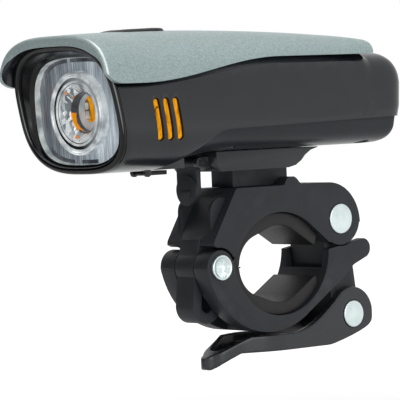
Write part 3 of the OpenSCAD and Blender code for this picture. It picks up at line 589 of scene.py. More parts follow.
class Finish:
    """A material with one Principled shader and its own place on the piece as texture coordinates."""

    def __init__(self, name, **sockets):
        self.material = bpy.data.materials.new(name)
        self.material.use_nodes = True
        self.tree = self.material.node_tree
        self.shader = self.tree.nodes["Principled BSDF"]
        self.place = add(self.tree, "ShaderNodeTexCoord").outputs["Object"]
        for key, value in sockets.items():
            self.set(key.replace("_", " ").title().replace("Ior", "IOR"), value)

    def set(self, label, value):
        feed(self.tree, self.shader.inputs[label], value)

    def group(self, tree, **values):
        node = self.tree.nodes.new("ShaderNodeGroup")
        node.node_tree = tree
        self.tree.links.new(self.place, node.inputs["Place"])
        for key, value in values.items():
            node.inputs[key.replace("_", " ").capitalize()].default_value = value
        return node

    def facing(self, way, low, high):
        """Mask of the faces that look a given way."""
        normal = add(self.tree, "ShaderNodeNewGeometry").outputs["Normal"]
        turn = add(self.tree, "ShaderNodeVectorMath", {0: normal, 1: way}, operation="DOT_PRODUCT")
        return spread(self.tree, turn.outputs["Value"], low, high)

    def facing_sides(self, way, low, high):
        """Mask of the faces that look a given way, on either side of the lamp."""
        mirrored = (way[0], -way[1], way[2])
        return maths(self.tree, "MAXIMUM", self.facing(way, low, high), self.facing(mirrored, low, high))

    def axes(self):
        """Sockets X, Y and Z of the place on the piece."""
        return add(self.tree, "ShaderNodeSeparateXYZ", {"Vector": self.place}).outputs

    def glow(self, colour, strength=OPTIC_GLOW):
        """Colour that also gives off a share of its own light: a painted glow."""
        self.set("Base Color", colour)
        self.set("Emission Color", colour)
        self.set("Emission Strength", strength)

    def bump(self, height, depth):
        node = add(self.tree, "ShaderNodeBump", {"Height": height, "Distance": depth, "Strength": 1.0})
        self.set("Normal", node.outputs["Normal"])


def moulded(name, dark, light, rough, grain_size, grain_depth, wear_and_sheen=0.0, **sockets):
    """Plastic or rubber with a moulded grain, a slow change of tone, and edges made lighter, partly by wear
    and partly by a painted highlight.
    """
    look = Finish(name, **sockets)
    grain = look.group(GRAIN, grain_per_metre=grain_size)
    colour = blend(look.tree, grain.outputs["Tone"], dark, light)
    if wear_and_sheen:
        # edges made lighter: partly wear, partly a painted highlight
        edge_sheen = look.group(EDGE_WEAR_AND_SHEEN, reach=wear_and_sheen)
        pale = tuple(min(1, 2.6 * c + 0.03) for c in light)
        colour = blend(look.tree, edge_sheen.outputs["Rub"], colour, pale)
    look.set("Base Color", colour)
    look.set("Roughness", spread(look.tree, grain.outputs["Height"], 0.2, 0.9, rough - 0.06, rough + 0.06))
    look.bump(grain.outputs["Height"], grain_depth)
    return look.material


def cover_finish():
    """Satin metallic paint with a fleck, with painted light on the visor's lip face and a painted highlight
    along the lip's edge.
    """
    look = Finish("satin_metallic_paint", metallic=0.35, coat_weight=0.12, coat_roughness=0.3)
    tree = look.tree
    flecks = look.group(FLECK, flakes_per_metre=4200.0)
    fleck = spread(tree, flecks.outputs["Fleck"], 0.15, 0.85)
    paint = blend(tree, fleck, (0.235, 0.31, 0.31), (0.38, 0.47, 0.47))
    ahead, upward, sideways = (1.0, 0.0, 0.0), (0.0, 0.0, 1.0), (0.0, 1.0, 0.0)
    # painted light: the lip's forward-facing face made paler
    paint = blend(tree, look.facing(ahead, 0.8, 0.95), paint, (1.5, 1.45, 1.45), "MULTIPLY")
    # painted highlight along the rounded edge of the visor's lip
    rim = spread(tree, look.axes()["X"], (VISOR_X - 4.5) * MM, (VISOR_X - 4) * MM)
    ridge = times(tree, look.facing(ahead, 0.3, 0.5), look.facing(ahead, 0.9, 0.75))
    edge_sheen = times(tree, ridge, look.facing(upward, -0.05, 0.1), rim, look.facing_sides(sideways, 0.1, 0.45))
    look.set("Base Color", blend(tree, edge_sheen, paint, (0.78, 0.84, 0.84)))
    look.set("Roughness", spread(tree, flecks.outputs["Fleck"], 0.0, 1.0, 0.5, 0.38))
    look.bump(flecks.outputs["Height"], 0.000012)
    return look.material


def bezel_finish():
    """Gloss black, with a painted highlight along its front edge and painted light on the lower wall, which
    faces up.
    """
    look = Finish("gloss_black_bezel", specular_ior_level=0.25)
    tree = look.tree
    grain = look.group(GRAIN, grain_per_metre=1500.0)
    colour = blend(tree, grain.outputs["Tone"], (0.004, 0.004, 0.0045), (0.007, 0.007, 0.0075))
    # painted light: the upward-facing lower wall made paler
    colour = blend(tree, look.facing((0.3, 0.0, 0.95), 0.5, 0.9), colour, (0.1, 0.108, 0.12))
    # painted highlight along the rim's front edge
    axes = look.axes()
    station = maths(tree, "SUBTRACT", axes["X"], times(tree, axes["Z"], RAKE))
    front = (LAMP_AHEAD - RAKE * AXIS_Z) * MM
    near_front = spread(tree, station, front - 1.1 * MM, front - 0.9 * MM)
    edge = times(tree, look.facing_sides((0.6, 0.8, 0.0), 0.95, 0.99), near_front)
    look.set("Base Color", blend(tree, edge, colour, (0.24, 0.26, 0.27)))
    look.set("Roughness", spread(tree, grain.outputs["Height"], 0.2, 0.9, 0.08, 0.2))
    look.bump(grain.outputs["Height"], 0.000001)
    return look.material


def steel_finish(name, dark, light, rough, metallic=1.0):
    look = Finish(name, metallic=metallic)
    lines = look.group(BRUSHING, lines_per_metre=5200.0)
    look.set("Base Color", blend(look.tree, lines.outputs["Tone"], dark, light))
    look.set("Roughness", spread(look.tree, lines.outputs["Height"], 0.3, 0.7, rough - 0.07, rough + 0.07))
    look.bump(lines.outputs["Height"], 0.000006)
    return look.material


def dish_finish():
    """Dished end of the tubular rivet: bright, with painted shade on the dish's front side."""
    look = Finish("rivet_dish", metallic=1.0, roughness=0.25)
    tree = look.tree
    lines = look.group(BRUSHING, lines_per_metre=5200.0)
    axes = look.axes()
    tone = blend(tree, lines.outputs["Tone"], (0.66, 0.75, 0.74), (0.76, 0.84, 0.83))
    # painted shade: the dish's front side darkened
    painted_shade = spread(tree, axes["X"], (PIN_C[0] + 0.7) * MM, (PIN_C[0] + 1.7) * MM)
    look.set("Base Color", blend(tree, painted_shade, tone, (0.07, 0.09, 0.12)))
    look.bump(lines.outputs["Height"], 0.000006)
    return look.material


def amber_finish(name, strength):
    """Clear amber with a painted glow: a bright core with darker streaks and a few dark flecks."""
    look = Finish(name, roughness=0.5, specular_ior_level=0.03)
    tree = look.tree
    streak = noise(tree, stretched(tree, look.place, (1.0, 1.0, 0.3)), 900.0, 3.0)
    colour = blend(tree, spread(tree, streak, 0.34, 0.62), (0.5, 0.16, 0.0), (0.95, 0.4, 0.008))
    fleck = spread(tree, noise(tree, look.place, 700.0, 2.0), 0.66, 0.74)
    colour = blend(tree, fleck, colour, (0.12, 0.035, 0.0))
    look.glow(colour, strength)
    return look.material


def flute_finish():
    """Fluted window over a pale ground, with a painted glow: streaks along the flutes, painted shade to the
    far side, painted light to the near side, painted amber reflections.
    """
    look = Finish("fluted_window", metallic=0.2, coat_weight=0.3, coat_roughness=0.08)
    tree = look.tree
    streak = noise(tree, stretched(tree, look.place, (1.0, 1.0, 0.07)), 900.0, 4.0, 0.65)
    broad = noise(tree, stretched(tree, look.place, (1.0, 1.0, 0.22)), 210.0, 2.0)
    streaks = spread(tree, weighted(tree, streak, 0.6, broad, 0.4), 0.3, 0.7)
    ground = ramp(tree, streaks, (0.11, 0.125, 0.14), (0.72, 0.76, 0.79), [(0.5, (0.33, 0.36, 0.385))])
    axes = look.axes()
    # painted shade to the far side and painted light to the near side
    near = spread(tree, axes["Y"], -0.014, 0.007)
    deep = blend(tree, near, (0.36, 0.39, 0.42), (1.22, 1.28, 1.32))
    colour = blend(tree, 1.0, ground, deep, "MULTIPLY")
    # painted reflection: amber glints on the far side
    glint = noise(tree, stretched(tree, look.place, (1.0, 1.6, 0.1)), 620.0, 1.0)
    far_side = spread(tree, axes["Y"], -0.0085, -0.0115)
    glint = times(tree, spread(tree, glint, 0.64, 0.74), far_side)
    colour = blend(tree, glint, colour, (0.42, 0.13, 0.02))
    look.glow(colour)
    look.set("Roughness", spread(tree, streak, 0.3, 0.7, 0.12, 0.3))
    return look.material


def facet_finish():
    """Clear optic full of painted broken reflections, with a painted glow: light, dark and a few amber
    facets round its axis, and painted light low on its near side.
    """
    look = Finish("faceted_optic", metallic=0.3, coat_weight=0.3, coat_roughness=0.05)
    tree = look.tree
    swirl = add(tree, "ShaderNodeTexNoise", {"Vector": look.place, "Scale": 320.0}).outputs["Color"]
    bent = blend(tree, 0.0022, look.place, swirl)
    cells = add(tree, "ShaderNodeTexVoronoi", {
        "Vector": stretched(tree, bent, (1.0, 1.5, 0.55)), "Scale": 900.0, "Randomness": 1.0})
    tint = add(tree, "ShaderNodeSeparateColor", {"Color": cells.outputs["Color"]})
    grey = weighted(tree, tint.outputs[0], 0.8, noise(tree, look.place, 900.0, 3.0), 0.25)
    facets = ramp(tree, grey, (0.03, 0.036, 0.042), (0.98, 1.0, 1.0), [
        (0.3, (0.16, 0.19, 0.21)), (0.55, (0.42, 0.46, 0.48)), (0.8, (0.62, 0.66, 0.68))])
    axes = look.axes()
    # painted light: brighter low on the near side
    low = maths(tree, "SUBTRACT", times(tree, axes["Y"], 0.5), axes["Z"])
    lit = spread(tree, low, (2.5 - LENS_Z) * MM, (8.5 - LENS_Z) * MM, 0.0, 0.6)
    bright = blend(tree, lit, facets, (0.86, 0.9, 0.91))
    # painted reflection: a few amber facets
    amber = spread(tree, tint.outputs[1], 0.94, 0.95)
    colour = blend(tree, amber, bright, (0.7, 0.22, 0.02))
    look.glow(colour)
    look.set("Roughness", spread(tree, tint.outputs[2], 0.0, 1.0, 0.06, 0.25))
    look.bump(cells.outputs["Distance"], 0.00015)
    return look.material


def ring_finish(name, dark, light, rough):
    """Bright moulded edge of a clear part with a painted glow, its tone drifting along its run."""
    look = Finish(name, metallic=0.2, coat_weight=0.4, coat_roughness=0.05)
    run = noise(look.tree, look.place, 230.0, 2.0, 0.5)
    colour = blend(look.tree, spread(look.tree, run, 0.35, 0.65), dark, light)
    look.glow(colour)
    look.set("Roughness", spread(look.tree, run, 0.3, 0.7, rough, rough + 0.15))
    return look.material


def groove_finish():
    """Groove between the optic's rings: painted shade on the far side, painted light on the near one, and a
    painted glow.
    """
    look = Finish("optic_groove", metallic=0.2, roughness=0.2)
    tree = look.tree
    axes = look.axes()
    # painted shade on the far side, painted light on the near side
    low = times(tree, maths(tree, "SUBTRACT", axes["Z"], (LENS_Z - OPTIC_LOW) * MM), 0.45)
    near = spread(tree, maths(tree, "ADD", axes["Y"], low), -0.003, 0.006)
    light = blend(tree, noise(tree, look.place, 500.0), (0.24, 0.26, 0.28), (0.5, 0.54, 0.56))
    colour = blend(tree, near, (0.014, 0.016, 0.019), light)
    look.glow(colour)
    return look.material


def tube_wall_finish():
    """Wall of the optic's centre tube: dark, with a painted reflection of the LED's amber low on its far
    side, and a painted glow.
    """
    look = Finish("centre_tube_wall", roughness=0.2)
    tree = look.tree
    axes = look.axes()
    broken = times(tree, noise(tree, look.place, 700.0, 3.0), 0.0016)
    height = maths(tree, "ADD", axes["Z"], broken)
    # painted reflection of the LED's amber, low on the far side
    middle = LENS_Z - OPTIC_LOW
    low = spread(tree, height, (middle + 1.3) * MM, (middle + 1.0) * MM)
    not_lowest = spread(tree, height, (middle - 4.2) * MM, (middle - 3.8) * MM)
    ahead = (LENS_X + OPTIC_OUT - 3.5) * MM
    front = spread(tree, maths(tree, "ADD", axes["X"], broken), ahead, ahead + 0.4 * MM)
    far = spread(tree, axes["Y"], -0.0006, -0.0014)
    dark = blend(tree, noise(tree, look.place, 500.0), (0.015, 0.017, 0.02), (0.09, 0.1, 0.11))
    colour = blend(tree, times(tree, low, not_lowest, front, far), dark, (1.0, 0.34, 0.0))
    look.glow(colour)
    return look.material


FINISHES = {
    "housing": moulded("satin_dark_housing", (0.0118, 0.0144, 0.0178), (0.015, 0.0182, 0.0222), 0.2,
                       3800.0, 0.000004, wear_and_sheen=0.12, specular_ior_level=0.4),
    "cover": cover_finish(),
    "bezel": bezel_finish(),
    "lens": flute_finish(),
    "optic_frame": moulded("pale_optic_frame", (0.45, 0.48, 0.5), (0.6, 0.63, 0.66), 0.35,
                           1200.0, 0.000005),
    # painted glow on the LED window and the amber guides
    "led": amber_finish("orange_led_window", 0.5),
    "amber": amber_finish("amber_guide", 0.22),
    "board": moulded("circuit_board", (0.012, 0.09, 0.035), (0.02, 0.13, 0.05), 0.45, 900.0, 0.00001),
    "aluminium": steel_finish("plain_aluminium", (0.6, 0.62, 0.64), (0.74, 0.76, 0.78), 0.4),
    "cell": moulded("cell_sleeve", (0.03, 0.14, 0.34), (0.05, 0.2, 0.45), 0.35, 700.0, 0.000006),
    "dark_plastic": moulded("switch_plastic", (0.02, 0.02, 0.021), (0.035, 0.035, 0.036), 0.5,
                            1800.0, 0.00001),
    "clamp": moulded("textured_clamp", (0.017, 0.0185, 0.0225), (0.022, 0.0235, 0.028), 0.5,
                     3000.0, 0.00002, wear_and_sheen=0.22, specular_ior_level=0.32),
    "rubber": moulded("matte_rubber", (0.007, 0.007, 0.0075), (0.011, 0.011, 0.0115), 0.48,
                      2200.0, 0.00002, wear_and_sheen=0.08, specular_ior_level=0.36),
    "steel": steel_finish("zinc_plated_pin", (0.6, 0.69, 0.68), (0.69, 0.78, 0.77), 0.3),
    "black_steel": steel_finish("black_oxide_screw", (0.02, 0.02, 0.02), (0.035, 0.035, 0.036), 0.45, 0.6),
}


def wear(made, slot, body="lamp", instead_of=None, look=None, inside=None, angle=40):
    """Gives a new piece its shading, finish and body, and a solid's place where it stands for one."""
    shade(made, angle)
    finishes = [look or FINISHES[slot]] + ([inside] if inside else [])
    while len(made.data.materials) < len(finishes):
        made.data.materials.append(None)
    for i, finish in enumerate(finishes):
        made.data.materials[i] = finish
    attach(made, body)
    if instead_of:
        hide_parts(instead_of)


def mark_inside(made, is_inside):
    """Gives the faces that a test picks the piece's second finish."""
    for _ in range(2):
        made.data.materials.append(None)
    for face in made.data.polygons:
        face.material_index = 1 if is_inside(face) else 0


# Lamp shells

def rebate_angle(x):
    """Angle on the tube's side at which the step under the cover's edge starts."""
    lift = 0
    for _ in range(5):
        at = x + tube_lean(x) * lift
        behind = held((at - COVER_REAR - 2.2) / 5)
        gap = mix(*EDGE_GAPS, smooth((at - 5) / 55)) * math.sqrt(1 - (1 - behind) ** 2)
        lift = cover_edge(min(at, VISOR_X - EDGE_CORNER)) - gap - AXIS_Z
    up = tube_up(x) - end_in(x)
    return math.asin(min(STEEPEST, lift / up) ** (tube_square(x) / 2))


def housing_ring(x, below=22, above=18):
    """Ring of the housing's outside, with a rebate for the cover over its upper part."""
    start = rebate_angle(x)
    drawn_in = REBATE * smooth((x - COVER_REAR - 1.5) / 4)
    quarter = math.pi / 2
    low = [tube_point(x, mix(-quarter, start, i / below), 0) for i in range(below + 1)]
    high = [tube_point(x, mix(start, quarter, i / above), drawn_in) for i in range(above + 1)]
    near = low + high
    far = [Vector((p.x, -p.y, p.z)) for p in reversed(near[1:-1])]
    return near + far


def stations(first, last, step):
    """Stations along the lamp, close together round its rear end."""
    rear = [REAR_X + d for d in (0, 0.12, 0.4, 0.8, 1.4, 2.2, 3.2, 4.4, 6)]
    turn = [COVER_REAR + d for d in (0, 0.4, 0.7, 1, 1.4, 2, 2.6, 3.2, 3.9, 4.7, 5.6, 6.6, 7.8)]
    count = round((last - REAR_X - 8) / step)
    body = [mix(REAR_X + 8, last, i / count) for i in range(count + 1)]
    body = [x for x in body if all(abs(x - r) > 0.5 * step for r in turn)]
    kept = sorted(x for x in rear + turn + body if first < x < last)
    return [first] + kept + [last]


def ledge_outline(gap):
    """Side view of the space under the housing's ledge, grown by gap."""
    a = LAMP_AHEAD
    rear = REAR_X - 20
    return [
        (rear, LEDGE_Z + LEDGE_RISE + gap), (a - 41, LEDGE_Z - 0.4 + gap), (a - 39.5, LEDGE_Z - 0.5 + gap),
        (a - 38, LEDGE_Z - 0.75 + gap), (a - 36.5, LEDGE_Z - 1.3 + gap), (a - 35, LEDGE_Z - 2.1 + gap),
        (a - 22 + gap, BELLY_Z - 3.6), (a - 22 + gap, BELLY_Z - 20), (rear, BELLY_Z - 20)]


def slot_outline(i):
    """Side view of one side slot."""
    c, s = math.cos(SLOT_LEAN), math.sin(SLOT_LEAN)
    middle = SLOT_X + i * SLOT_PITCH
    return [(middle + a * c - b * s, SLOT_Z + a * s + b * c) for a, b in stadium(SLOT_HEIGHT, SLOT_WIDTH)]


def box_outline(x0, x1, y0, y1):
    return [(x0, y0), (x1, y0), (x1, y1), (x0, y1)]


def make_housing():
    outside = [housing_ring(x) for x in stations(REAR_X, RIM_X - SEAM, 2.2)]
    made = loft("housing_shell", outside)
    cut(made, loft("inside", [tube_ring(x, WALL) for x in stations(REAR_X + WALL, RIM_X + 5, 6)]))
    tools = [prism("ledge", ledge_outline(0), "Y", -PAST_ALL, PAST_ALL)]
    for i in (-1, 0, 1):
        tools.append(prism("slot", slot_outline(i), "Y", 15, 40))
        tools.append(prism("slot", slot_outline(i), "Y", -40, -15))
    tools.append(prism("stem", circle(2.15, (BUTTON_X, 0)), "Z", AXIS_Z + 10, AXIS_Z + 40))
    cut(made, join("tools", tools))
    round_edges(made, 0.3, steps=2, angle=48)
    wear(made, "housing", instead_of="housing", angle=32)


def make_port_pod():
    """Thick floor round the charging port, with the lugs that carry the flap."""
    half_x, half_y = PORT_SIZE[0] / 2, PORT_SIZE[1] / 2
    outside = box_outline(PORT_X - POD_HALF, PORT_X + POD_AHEAD, -POD_HALF, POD_HALF)
    block = prism("port_pod", outside, "Z", POD_Z, POD_Z + POD_HEIGHT)
    port = box_outline(PORT_X - half_x, PORT_X + half_x, -half_y, half_y)
    cut(block, prism("port", port, "Z", POD_Z - 1, POD_Z + 9))
    pin_x, pin_z = PORT_X + 4.5, POD_Z - 0.95
    for side in (-1, 1):
        outline = [(pin_x - 1, POD_Z + 1), (pin_x - 1, pin_z)]
        turns = [math.pi * i / 12 for i in range(1, 12)]
        outline += [(pin_x - math.cos(t), pin_z - math.sin(t)) for t in turns]
        outline += [(pin_x + 1, pin_z), (pin_x + 1, POD_Z + 1)]
        lug = prism("lug", outline, "Y", side * 2.35, side * 3.55)
        cut(block, lug, "UNION")
    round_edges(block, 0.25, steps=2)
    wear(block, "housing", angle=35)


def belly_ring(x, inset):
    """Ring of the belly, drawn forward at the rear, where its end slants in under the ledge."""
    rear = 1 - smooth((x - REAR_X - 2) / 24)
    ahead = 3 * (1 - smooth((x - REAR_X - BELLY_IN) / 6))
    ring = tube_ring(x + ahead, inset)
    return [p + Vector((rear * (1.4 + 0.22 * max(0, LEDGE_Z - 2.5 - p.z)) - ahead, 0, 0)) for p in ring]


def make_belly():
    outside = [belly_ring(x, BELLY_IN) for x in stations(REAR_X + BELLY_IN, RIM_X, 3)]
    made = loft("belly_shell_fine", outside)
    deep = BELLY_IN + BELLY_WALL
    cut(made, loft("inside", [belly_ring(x, deep) for x in stations(REAR_X + deep, RIM_X + 5, 6)]))
    cut(made, prism("under_ledge", ledge_outline(0.3), "Y", -PAST_ALL, PAST_ALL), "INTERSECT")
    wells = [circle(2.3, (x, side * y)) for x, y in SCREWS_AT for side in (-1, 1)]
    tools = [prism("screw_well", well, "Z", 0, BELLY_Z + 2.4) for well in wells]
    room = POD_HALF + POD_ROOM
    pod_room = box_outline(PORT_X - room, PORT_X + 30, -room, room)
    tools.append(prism("pod_room", pod_room, "Z", POD_Z - 20, POD_Z + POD_HEIGHT + POD_ROOM))
    cut(made, join("tools", tools))
    round_edges(made, 0.25, steps=2, angle=48)
    look = moulded("belly_moulding", (0.021, 0.0245, 0.029), (0.025, 0.029, 0.034), 0.3, 3800.0, 0.000004,
                   wear_and_sheen=0.1, specular_ior_level=0.2)
    wear(made, "housing", instead_of="belly_shell", look=look, angle=32)


def make_cover():
    """Cover sheet with its visor: outer and inner arcs at each station, opened for the button."""
    count = 56
    rear = [COVER_REAR + d for d in (0, 0.1, 0.3, 0.6, 1, 1.5, 2.2, 3)]
    middle = [mix(COVER_REAR + 4.5, VISOR_X - EDGE_CORNER, i / 34) for i in range(35)]
    tip = [VISOR_X - EDGE_CORNER * (1 - math.sin(math.pi / 2 * i / 12)) for i in range(1, 13)]
    rings = []
    for x in rear + middle + tip:
        turn = held((x - VISOR_X + LIP_ROUND) / LIP_ROUND)
        outer = cover_arc(x, LIP_ROUND * round_off(turn), count)
        inner = []
        lip = smooth((x - VISOR_X + 3.6) / 2)
        at_crest, at_sides = (cover_arc(x, mix(COVER_WALL, wall, lip), count) for wall in VISOR_WALLS)
        for p, a, b in zip(outer, at_crest, at_sides):
            down = (cover_z(x) - p.z) / (cover_z(x) - cover_edge(x))
            deep = a.lerp(b, smooth((down - 0.3) / 0.6))
            drawn_in = REBATE if COVER_REAR + 5.5 < x < RIM_X - 2 else 0
            share = 0
            while share < 0.9 and in_tube(deep.lerp(p, share), 0.12 - drawn_in):
                share += 0.02
            inner.append(deep.lerp(p, share))
        rings.append(outer + inner[::-1])
    size = len(rings[0])
    faces = ring_faces(size, len(rings), False)
    last = (len(rings) - 1) * size
    for base, order in ((0, 1), (last, -1)):
        for i in range(count):
            quad = (base + i, base + i + 1, base + size - 2 - i, base + size - 1 - i)
            faces.append(quad[::order])
    made = piece("cover_shell", [p for ring in rings for p in ring], faces)
    mark_inside(made, lambda face: min(i % size for i in face.vertices) > count)
    face_outward(made)
    outline = stadium(BUTTON_LENGTH + 2 * BUTTON_GAP, BUTTON_WIDTH + 2 * BUTTON_GAP, 24)
    opening = [(BUTTON_X + a, b) for b, a in outline]
    cut(made, prism("opening", opening, "Z", AXIS_Z, AXIS_Z + PAST_ALL))
    round_edges(made, 0.6, steps=3, angle=48)
    wear(made, "cover", instead_of="top_cover", inside=FINISHES["housing"], angle=32)


def make_bezel():
    """Black front frame: rounded rim, then a dished wall in to the window."""
    rings = [tube_ring(RIM_X, WALL + SEAM), tube_ring(RIM_X, 0.15), tube_ring(RIM_X + 0.15, 0)]
    for i in range(9):
        t = math.pi / 2 * i / 8
        rings.append(tube_ring(LAMP_AHEAD - 0.8 * (1 - math.sin(t)), 0.9 * (1 - math.cos(t))))
    for i in range(1, 7):
        t = math.pi / 2 * i / 6
        rings.append(tube_ring(LAMP_AHEAD - 0.8 * (1 - math.cos(t)), 1.5 + 0.45 * math.sin(t)))
    top, foot = rings[-1], window_ring(-LIP_OUT, BEZEL_LIP)
    for i in range(1, 13):
        t = i / 12
        rings.append([mix_points(a, b, t, 0.5 * math.sin(math.pi * t)) for a, b in zip(top, foot)])
    rings.append(window_ring(0.3 - LIP_OUT, BEZEL_LIP + 0.05))
    rings.append(window_ring(0.3 - LIP_OUT, BEZEL_LIP - 0.45))
    made = loft("bezel_frame", rings, closed=True)
    wear(made, "bezel", instead_of="front_bezel", angle=50)


def mix_points(a, b, t, hollow):
    """Point between a and b, pushed out from the lamp's axis by hollow."""
    p = a.lerp(b, t)
    out = Vector((0, p.y, p.z - LENS_Z)).normalized()
    return p + out * hollow


# Front optics

def edge_height(across, inset):
    """Half the window's height at a place across it."""
    share = min(1, abs(across) / (FRONT_WIDTH / 2 - inset))
    return (WINDOW_HEIGHT - inset) * (1 - share**WINDOW_SQUARE) ** (1 / WINDOW_SQUARE)


def make_window():
    """Fluted window with a round hole for the optic, and the bright wall round its edge."""
    flute, wave = 0.95, 0.14
    columns = 252
    half = 21
    front = []
    for i in range(columns + 1):
        y = mix(-half, half, i / columns)
        front.append((y, wave * (1 - math.cos(2 * math.pi * y / flute)) / 2))
    outline = front + [(half, 1.6), (-half, 1.6)]
    ends = [[beam_point(up, y, PLATE_DEPTH + d) for y, d in outline] for up in (-20, 20)]
    plate = loft("fluted_window", ends)
    room = PLATE_DEPTH + 4
    edge = [window_ring(d, BEZEL_LIP + 0.22) for d in (PLATE_DEPTH - 1, room)]
    cut(plate, loft("outline", edge), "INTERSECT")
    cut(plate, loft("optic_room", [lathe_ring(OPTIC_RADIUS + 0.1, d) for d in (-2, room + 4)]))
    wear(plate, "lens", instead_of="front_lens")
    top, foot = 0.32 - LIP_OUT, PLATE_DEPTH + 0.1
    section = ((top, 0.02), (top, 0.1), (foot, 0.25), (foot, 0.02))
    wall = loft("window_edge", [window_ring(d, BEZEL_LIP + inset) for d, inset in section], closed=True)
    wear(wall, "lens", look=ring_finish("bright_window_edge", (0.3, 0.34, 0.35), (0.78, 0.83, 0.8), 0.15))


def make_gasket():
    """Thin rubber ring between the bezel's lip and the window."""
    rings = [window_ring(d, BEZEL_LIP + inset) for d, inset in (
        (-0.62, -0.06), (-0.62, -0.36), (-0.4, -0.42), (0.5, -0.42), (0.62, -0.36), (0.62, -0.06))]
    made = loft("window_gasket", rings, closed=True)
    wear(made, "rubber", instead_of="lens_gasket")


def make_border_bands():
    """Dark bands along the window's upper and lower edges, with gaps between them."""
    bands = []
    section = ((-0.08, 0.3), (-0.08, 1.35), (0.3, 1.35), (0.3, 0.3))
    for side, first, last in ((1, -15.5, -4.8), (1, -3.4, 9), (-1, -15, -5.2), (-1, -1.6, 5.2)):
        rings = []
        for i in range(25):
            y = mix(first, last, i / 24)
            ring = [(side * edge_height(y, BEZEL_LIP + inset), d) for d, inset in section]
            rings.append([beam_point(up, y, PLATE_DEPTH + d) for up, d in ring])
        bands.append(loft("band", rings))
    made = join("window_bands", bands)
    look = ring_finish("dark_window_band", (0.055, 0.06, 0.072), (0.13, 0.14, 0.165), 0.15)
    wear(made, "lens", look=look)


def lathe_ring(radius, depth, count=96):
    """Circle round the optic's axis, at a depth behind the optic's front."""
    ring = circle(radius, (-OPTIC_LOW, 0), count)
    return [beam_point(up, across, depth - OPTIC_OUT) for up, across in ring]


def lathe(name, profile):
    """Ring-shaped piece from a closed profile of (radius, depth behind the optic's front)."""
    return loft(name, [lathe_ring(r, d) for r, d in profile], closed=True)


def make_optic():
    """Round optic: bright rings, dark grooves, a faceted cone, and the centre tube with its floor."""
    rim = lathe("optic_rim", [
        (10.0, 0.4), (10.05, 0.1), (10.2, 0), (10.52, 0), (10.72, 0.35), (10.92, 0), (11.35, 0),
        (11.52, 0.08), (OPTIC_RADIUS, 0.3), (OPTIC_RADIUS, 3.9), (9.6, 3.9), (9.6, 1.3), (10.0, 1.3)])
    wear(rim, "lens", instead_of="collimator",
         look=ring_finish("bright_optic_rim", (0.36, 0.4, 0.42), (0.92, 0.96, 0.97), 0.06))
    inner = lathe("optic_inner_ring", [
        (8.45, 0.5), (8.5, 0.12), (8.6, 0), (8.95, 0), (9.05, 0.12), (9.1, 0.5), (9.1, 1.3), (8.45, 1.3)])
    wear(inner, "lens", look=ring_finish("bright_inner_ring", (0.4, 0.44, 0.46), (0.8, 0.84, 0.85), 0.08))
    third = lathe("optic_third_ring", [
        (7.85, 0.8), (7.9, 0.45), (7.98, 0.35), (8.12, 0.35), (8.2, 0.45), (8.22, 0.8), (8.22, 1.4),
        (7.85, 1.4)])
    wear(third, "lens", look=ring_finish("bright_third_ring", (0.25, 0.28, 0.3), (0.92, 0.95, 0.95), 0.08))
    floor_depth = 1.25
    grooves = join("optic_grooves", [
        lathe("groove", [(a, top), (b, top), (b, floor_depth), (a, floor_depth)])
        for a, b, top in ((9.12, 9.98, 0.3), (8.24, 8.43, 0.45))])
    wear(grooves, "lens", look=groove_finish())
    cone = lathe("optic_cone", [
        (7.95, 0.7), (7.35, 1.2), (6.75, 1.75), (6.2, 2.3), (5.78, 2.7), (5.74, 3.0), (6.6, 4.2),
        (8.4, 2.6), (8.4, 1.42)])
    wear(cone, "lens", look=facet_finish())
    tube = lathe("optic_tube", [
        (5.45, 2.95), (5.5, 2.8), (5.6, 2.75), (5.68, 2.85), (5.7, 3.0), (5.7, TUBE_FLOOR + 0.3),
        (5.2, TUBE_FLOOR + 0.3), (5.2, TUBE_FLOOR)])
    wear(tube, "lens", look=tube_wall_finish())
    floor = loft("optic_tube_floor", [lathe_ring(5.4, d) for d in (TUBE_FLOOR + 0.05, TUBE_FLOOR + 0.7)])
    wear(floor, "lens", look=ring_finish("frosted_tube_floor", (0.4, 0.44, 0.46), (0.6, 0.64, 0.66), 0.3))


def led_disc(name, half, up, across, depths, square):
    """Low domed plate on the tube's floor, from (height over the floor, inset) pairs."""
    rings = []
    for height, inset in depths:
        wide, tall = half[0] - inset, half[1] - inset
        ring = [superellipse(2 * math.pi * i / 48, wide, tall, tall, square) for i in range(48)]
        depth = TUBE_FLOOR - OPTIC_OUT - height
        rings.append([beam_point(up - OPTIC_LOW + b, across + a, depth) for a, b in ring])
    return loft(name, rings)


def make_led():
    """Orange LED window with a brown field at one side and two pale dies on it, in the optic's tube."""
    dome = ((0, 0), (0.15, 0.05), (0.3, 0.3), (0.36, 0.8))
    orange = led_disc("led_window", (2.4, 3.6), 0.8, 0.3, dome, 2.2)
    wear(orange, "led")
    field = led_disc("led_field", (1.2, 2.9), 0.75, -0.7, ((0.2, 0), (0.45, 0.03), (0.5, 0.15)), 2.2)
    wear(field, "led", look=ring_finish("led_die_field", (0.1, 0.065, 0.025), (0.3, 0.2, 0.1), 0.3))
    section = ((0.4, 0), (0.62, 0.04), (0.68, 0.16))
    made = join("led_dies", [
        led_disc("die", (0.72, 0.95), 1.75, -0.72, section, 6.0),
        led_disc("die", (0.78, 1.1), -0.75, -0.62, section, 6.0)])
    wear(made, "led", look=ring_finish("led_die", (0.34, 0.36, 0.32), (0.8, 0.82, 0.75), 0.2))


# Button

def button_slope(ahead, depth):
    """How far the button's crown sinks towards its front end."""
    return 0.0 if depth < -1 else 0.7 * smooth((ahead - 1) / 9.5)


